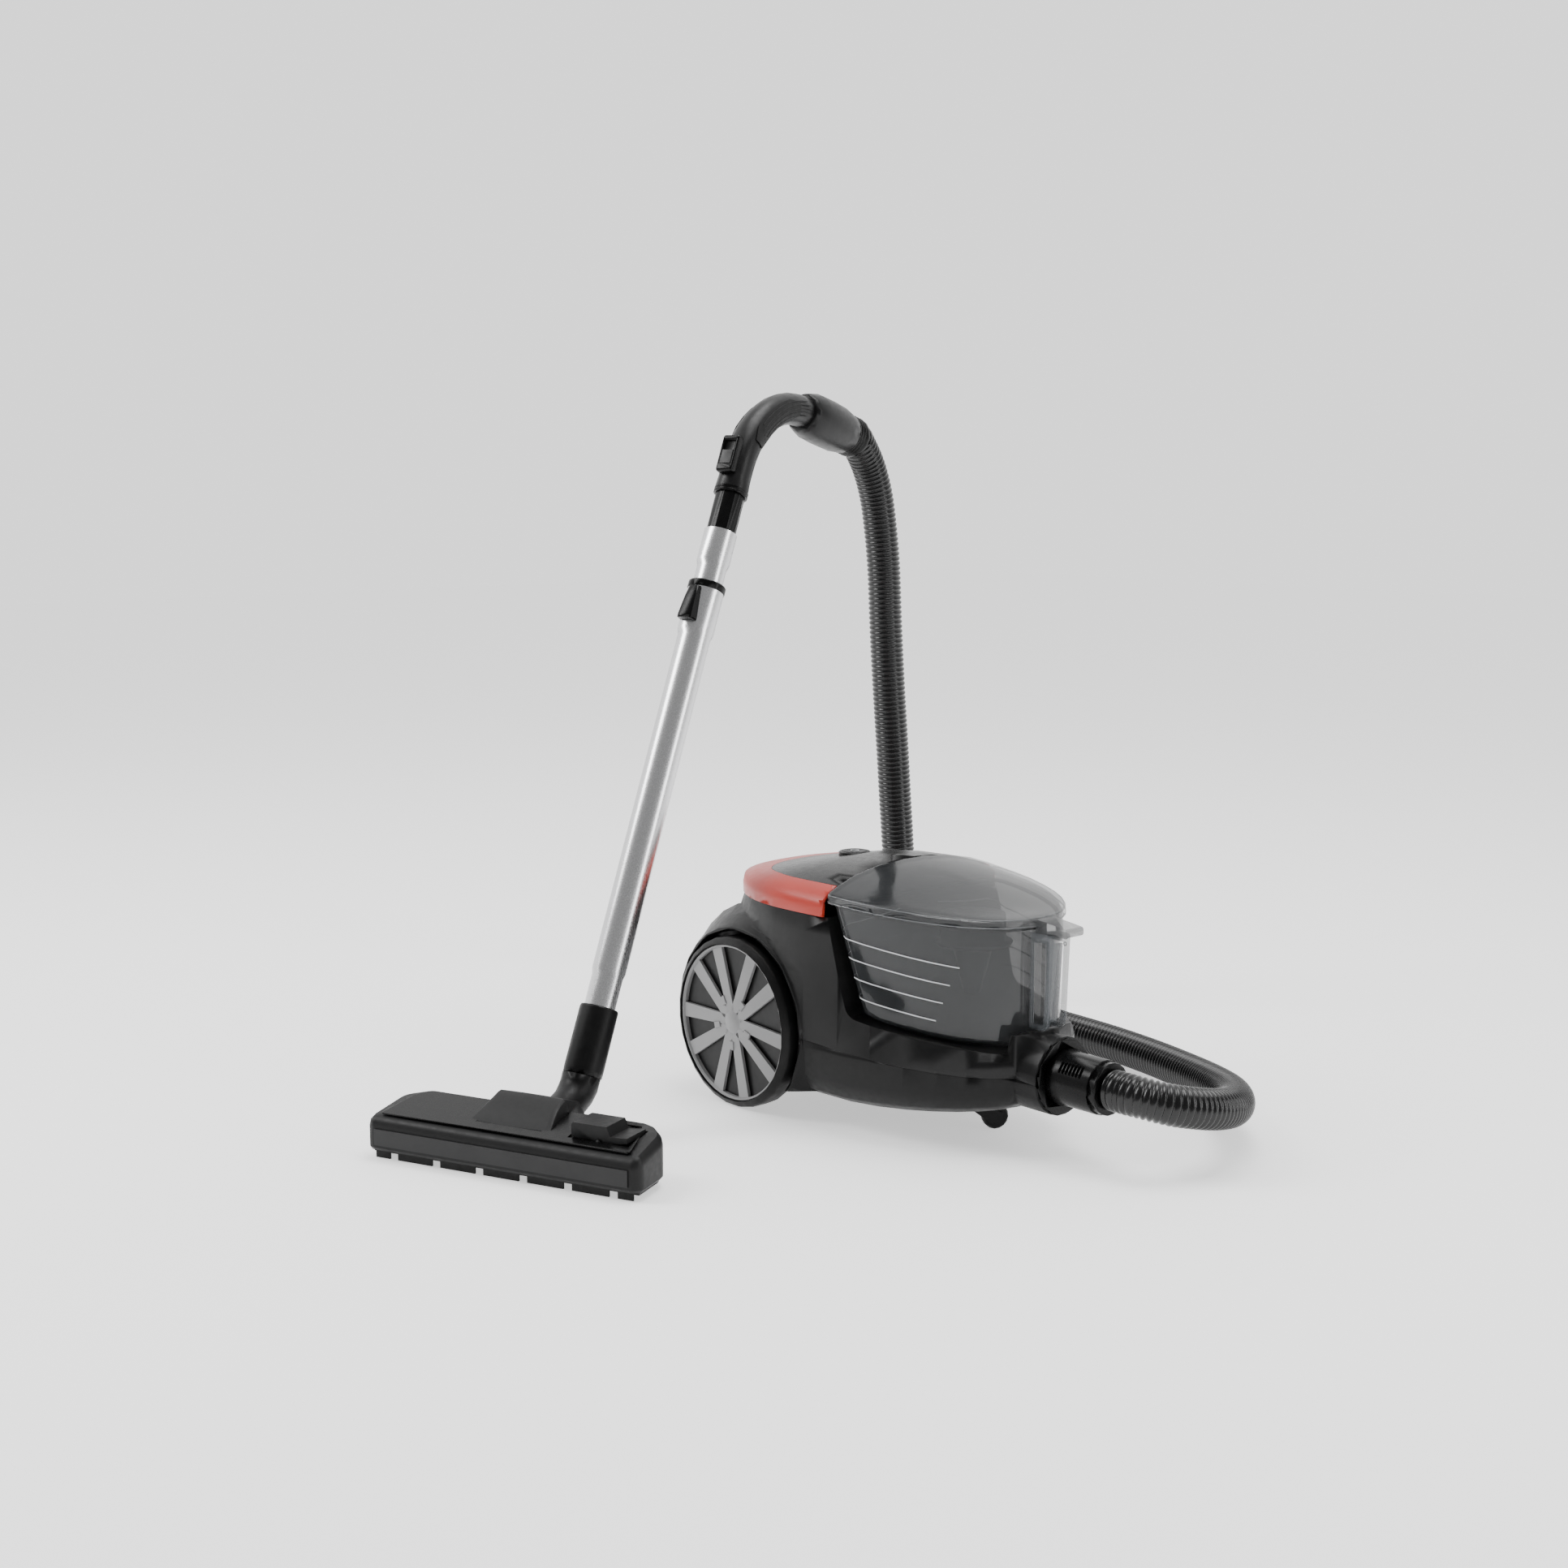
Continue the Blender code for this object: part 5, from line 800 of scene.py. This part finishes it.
def makePaintedRimHighlights(values):
    tree = surfaceOf("container_lid")
    for number, level in enumerate(values["levels"]):
        points = []
        for k in range(values["steps"]):
            angle = math.radians(-values["half"] + 2 * values["half"] * k / (values["steps"] - 1))
            aim = Vector((math.cos(angle), math.sin(angle), 0))
            x = binMiddleX + 0.10 * math.cos(angle)
            # the rim falls towards the front, so its height is found again at each hit
            for _ in range(4):
                z = values["rearHeight"] - values["fall"] * (x - values["rearX"]) + level
                start = binMiddle + aim * castFrom + Vector((0, 0, z))
                hit = lineOnSurface(tree, start, -aim)[0]
                if hit is None:
                    break
                x = hit.x - axle.x
            if hit is not None:
                points.append(hit + aim * values["lift"])
        line = curveFrom("rimLine", points)
        line.data.bevel_depth = values["radius"]
        line.data.bevel_resolution = 2
        line.data.use_fill_caps = True
        # each line carries the painted highlight colour of the rim's edge
        line.data.materials.append(rimHighlightFinish)
        piece = frozen(line)
        piece.name = f"rimLine_{number}"
        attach(piece, "lid")


makePaintedRimHighlights(rim)
print("rim lines made")


# ---- floor head: hood over the hinge, and its apron

head = {"at": (0.0420, -0.4545, 0), "turn": 22.5, "edge": 0.040, "rise": 0.014, "depth": 0.074}
headTurn = Matrix.Rotation(math.radians(head["turn"]), 4, "Z")
headPlace = Matrix.Translation(axle + Vector(head["at"])) @ headTurn
hood = {
    "stations": (
        (0.0150, 0.0446), (0.0200, 0.0462), (0.0260, 0.0496), (0.0340, 0.0550),
        (0.0430, 0.0602), (0.0520, 0.0645), (0.0580, 0.0668), (0.0605, 0.0672),
    ),
    "halfTop": 0.0380, "halfFoot": 0.0455, "wall": 0.0016, "columns": 14,
}


def headTop(y):
    # the head's upper face rises from its front edge to its back
    return head["edge"] + head["rise"] * y / head["depth"]


def makeHood(values):
    shape = bmesh.new()
    rows = []
    for y, z in values["stations"]:
        foot = headTop(y) + 0.0020
        rise = max(0.0, z - foot)
        part = min(1.0, rise / 0.012)
        half = values["halfFoot"] + (values["halfTop"] - values["halfFoot"]) * part
        row = [(-half - 0.0035 * part, foot), (-half - 0.0020 * part, foot + rise * 0.55),
               (-half, foot + rise * 0.88), (-half + 0.0022, z)]
        for k in range(values["columns"]):
            x = (-half + 0.006) + (2 * half - 0.012) * k / (values["columns"] - 1)
            row.append((x, z + 0.0006 * (1 - (x / half) ** 2)))
        row += [(-x, h) for x, h in reversed(row[:4])]
        rows.append([shape.verts.new(headPlace @ Vector((x, y, h))) for x, h in row])
    for here, there in zip(rows, rows[1:]):
        for i in range(len(here) - 1):
            shape.faces.new((here[i], here[i + 1], there[i + 1], there[i]))
    bmesh.ops.remove_doubles(shape, verts=shape.verts, dist=0.00001)
    bmesh.ops.recalc_face_normals(shape, faces=shape.faces)
    if sum(f.normal.z for f in shape.faces) < 0:
        bmesh.ops.reverse_faces(shape, faces=shape.faces[:])
    cover = makeObject("hingeHood", shape, finishes["head_grey"], 50)
    wall = cover.modifiers.new("wall", "SOLIDIFY")
    wall.thickness = values["wall"]
    wall.offset = -1
    soft = cover.modifiers.new("edge", "BEVEL")
    soft.width = 0.0005
    soft.segments = 2
    frozen(cover)
    cover.data.shade_smooth()
    cover.data.set_sharp_from_angle(angle=math.radians(50))
    apron = bmesh.new()
    outline = [
        (-0.0640, 0.0600), (-0.0520, 0.0170), (-0.0480, 0.0125), (0.0480, 0.0125),
        (0.0520, 0.0170), (0.0560, 0.0190), (0.0640, 0.0195), (0.0640, 0.0600),
        (0.0400, 0.0600), (0.0400, 0.0200), (-0.0400, 0.0200), (-0.0400, 0.0600),
    ]
    outside = 8  # the points after these run along the slot for the hinge
    rows = []
    for lift in (0.0014, 0.0026, 0.0030):
        row = []
        for i, (x, y) in enumerate(outline):
            pull = 0.0006 if lift > 0.0028 else 0.0
            away = Vector((x, y)) - Vector((0, 0.045))
            spot = Vector((x, y)) - away.normalized() * pull * (1 if i < outside else -1)
            spot = Vector((spot.x, spot.y, headTop(spot.y) + lift))
            row.append(apron.verts.new(headPlace @ spot))
        rows.append(row)
    for here, there in zip(rows, rows[1:]):
        for i in range(len(outline)):
            j = (i + 1) % len(outline)
            apron.faces.new((here[i], here[j], there[j], there[i]))
    caps = [apron.faces.new(rows[0][::-1]), apron.faces.new(rows[-1])]
    bmesh.ops.triangulate(apron, faces=caps, ngon_method="EAR_CLIP")
    plate = makeObject("hoodApron", closeUp(apron), finishes["head_grey"], 30)
    for piece in (cover, plate):
        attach(piece, "floor_head")


makeHood(hood)
print("hood made")


# ---- handle: ribs along the soft inlays

inlay = {
    "angles": (-26, -13, 0, 13, 26), "radius": 0.0185, "thickness": 0.00055, "start": 22, "end": 74,
    "steps": 24,
}


def bendPoint(turned):
    # a point of the handle's bend, and the way out of the bend there
    climb = math.pi / 2 - wandLean
    slope = climb - math.radians(turned)
    along = Vector((math.cos(wandHeading), math.sin(wandHeading), 0))
    up = Vector((0, 0, 1))
    start = wandFoot + wandUp * (handle["tube"] + handle["collar"])
    radius = handle["bendRadius"]
    spot = start + along * radius * (math.sin(climb) - math.sin(slope))
    spot += up * radius * (math.cos(slope) - math.cos(climb))
    return spot, up * math.cos(slope) - along * math.sin(slope)


def makeInlayRibs(values):
    side = Vector((-math.sin(wandHeading), math.cos(wandHeading), 0))
    for name, hand in (("left", 1), ("right", -1)):
        for number, angle in enumerate(values["angles"]):
            phi = math.radians(angle)
            taper = 4 if abs(angle) > 20 else 1.5 if abs(angle) > 5 else 0
            points = []
            sweep = values["end"] - values["start"] - 2 * taper
            for k in range(values["steps"] + 1):
                turned = values["start"] + taper + sweep * k / values["steps"]
                spot, out = bendPoint(turned)
                way = side * hand * math.cos(phi) + out * math.sin(phi)
                points.append(spot + way * values["radius"])
            line = curveFrom("inlayRib", points)
            line.data.bevel_depth = values["thickness"]
            line.data.bevel_resolution = 1
            line.data.use_fill_caps = True
            line.data.materials.append(finishes["rubber"])
            piece = frozen(line)
            piece.name = f"inlayRib_{name}_{number}"
            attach(piece, "handle")


makeInlayRibs(inlay)
print("inlay ribs made")


# ---- mark on the power button

def makeButtonMark():
    low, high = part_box("power_button")
    place = Matrix.Translation(((low.x + high.x) / 2, (low.y + high.y) / 2, high.z))
    shape = bmesh.new()
    ring = [(0.0038, -0.0003), (0.0046, -0.0003), (0.0046, 0.00012), (0.0038, 0.00012)]
    turnedInto(shape, ring, place, 48)
    stroke = [(-0.0004, 0.0012), (0.0004, 0.0012), (0.0004, 0.0054), (-0.0004, 0.0054)]
    prismInto(shape, stroke, -0.0003, 0.00016, place)
    mark = makeObject("buttonMark", closeUp(shape), lineFinish, 30)
    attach(mark, "switch_button")


makeButtonMark()
print("button marked")


# ---- floor and light

def makeFloor(values):
    shape = bmesh.new()
    half = values["floorHalf"]
    corners = [(-half, -half), (half, -half), (half, half), (-half, half)]
    shape.faces.new([shape.verts.new((x, y, 0)) for x, y in corners])
    material, shader = newMaterial("paleFloor")
    tone = toneOf(values["floorColour"], 0.995, 1)
    wire(material, colourOf(material, noiseOn(material, 3, 2), *tone), shader.inputs["Base Color"])
    shader.inputs["Roughness"].default_value = 0.9
    shader.inputs["Emission Color"].default_value = (1, 1, 1, 1)
    shader.inputs["Emission Strength"].default_value = values["floorGlow"]
    makeObject("floor", shape, material)


def softLight(name, place, target, size, power):
    lamp = bpy.data.lights.new(name, "AREA")
    lamp.shape = "RECTANGLE"
    lamp.size, lamp.size_y = size
    lamp.energy = power
    light = bpy.data.objects.new(name, lamp)
    bpy.context.scene.collection.objects.link(light)
    light.location = place
    aim = Vector(target) - Vector(place)
    light.rotation_euler = aim.to_track_quat("-Z", "Y").to_euler()


makeFloor(studio)
world = bpy.data.worlds.new("studio")
bpy.context.scene.world = world
world.use_nodes = True
sky = world.node_tree
# the sky is bright ahead of the camera and dim behind it
azimuth = math.radians(studio["azimuth"])
ahead = Vector((-math.sin(azimuth), math.cos(azimuth), 0))
place = sky.nodes.new("ShaderNodeTexCoord")
facing = sky.nodes.new("ShaderNodeVectorMath")
facing.operation = "DOT_PRODUCT"
facing.inputs[1].default_value = ahead
spread = sky.nodes.new("ShaderNodeMapRange")
spread.interpolation_type = "SMOOTHSTEP"
spread.inputs["From Min"].default_value, spread.inputs["From Max"].default_value = studio["skyFade"]
spread.inputs["To Min"].default_value = studio["dimStrength"]
spread.inputs["To Max"].default_value = studio["skyStrength"]
sky.links.new(place.outputs["Generated"], facing.inputs[0])
sky.links.new(facing.outputs["Value"], spread.inputs["Value"])
sky.links.new(spread.outputs["Result"], sky.nodes["Background"].inputs["Strength"])
sky.nodes["Background"].inputs["Color"].default_value = (1, 1, 1, 1)
middle = Vector((0.05, 0.0, 0.25))
softLight("key", (-1.6, -1.7, 2.3), middle, (0.9, 1.8), 62)
softLight("side", (2.3, 1.2, 1.2), middle, (0.5, 2.0), 26)
softLight("top", (0.1, 0.5, 2.8), middle, (1.8, 1.2), 52)
print("lights placed")
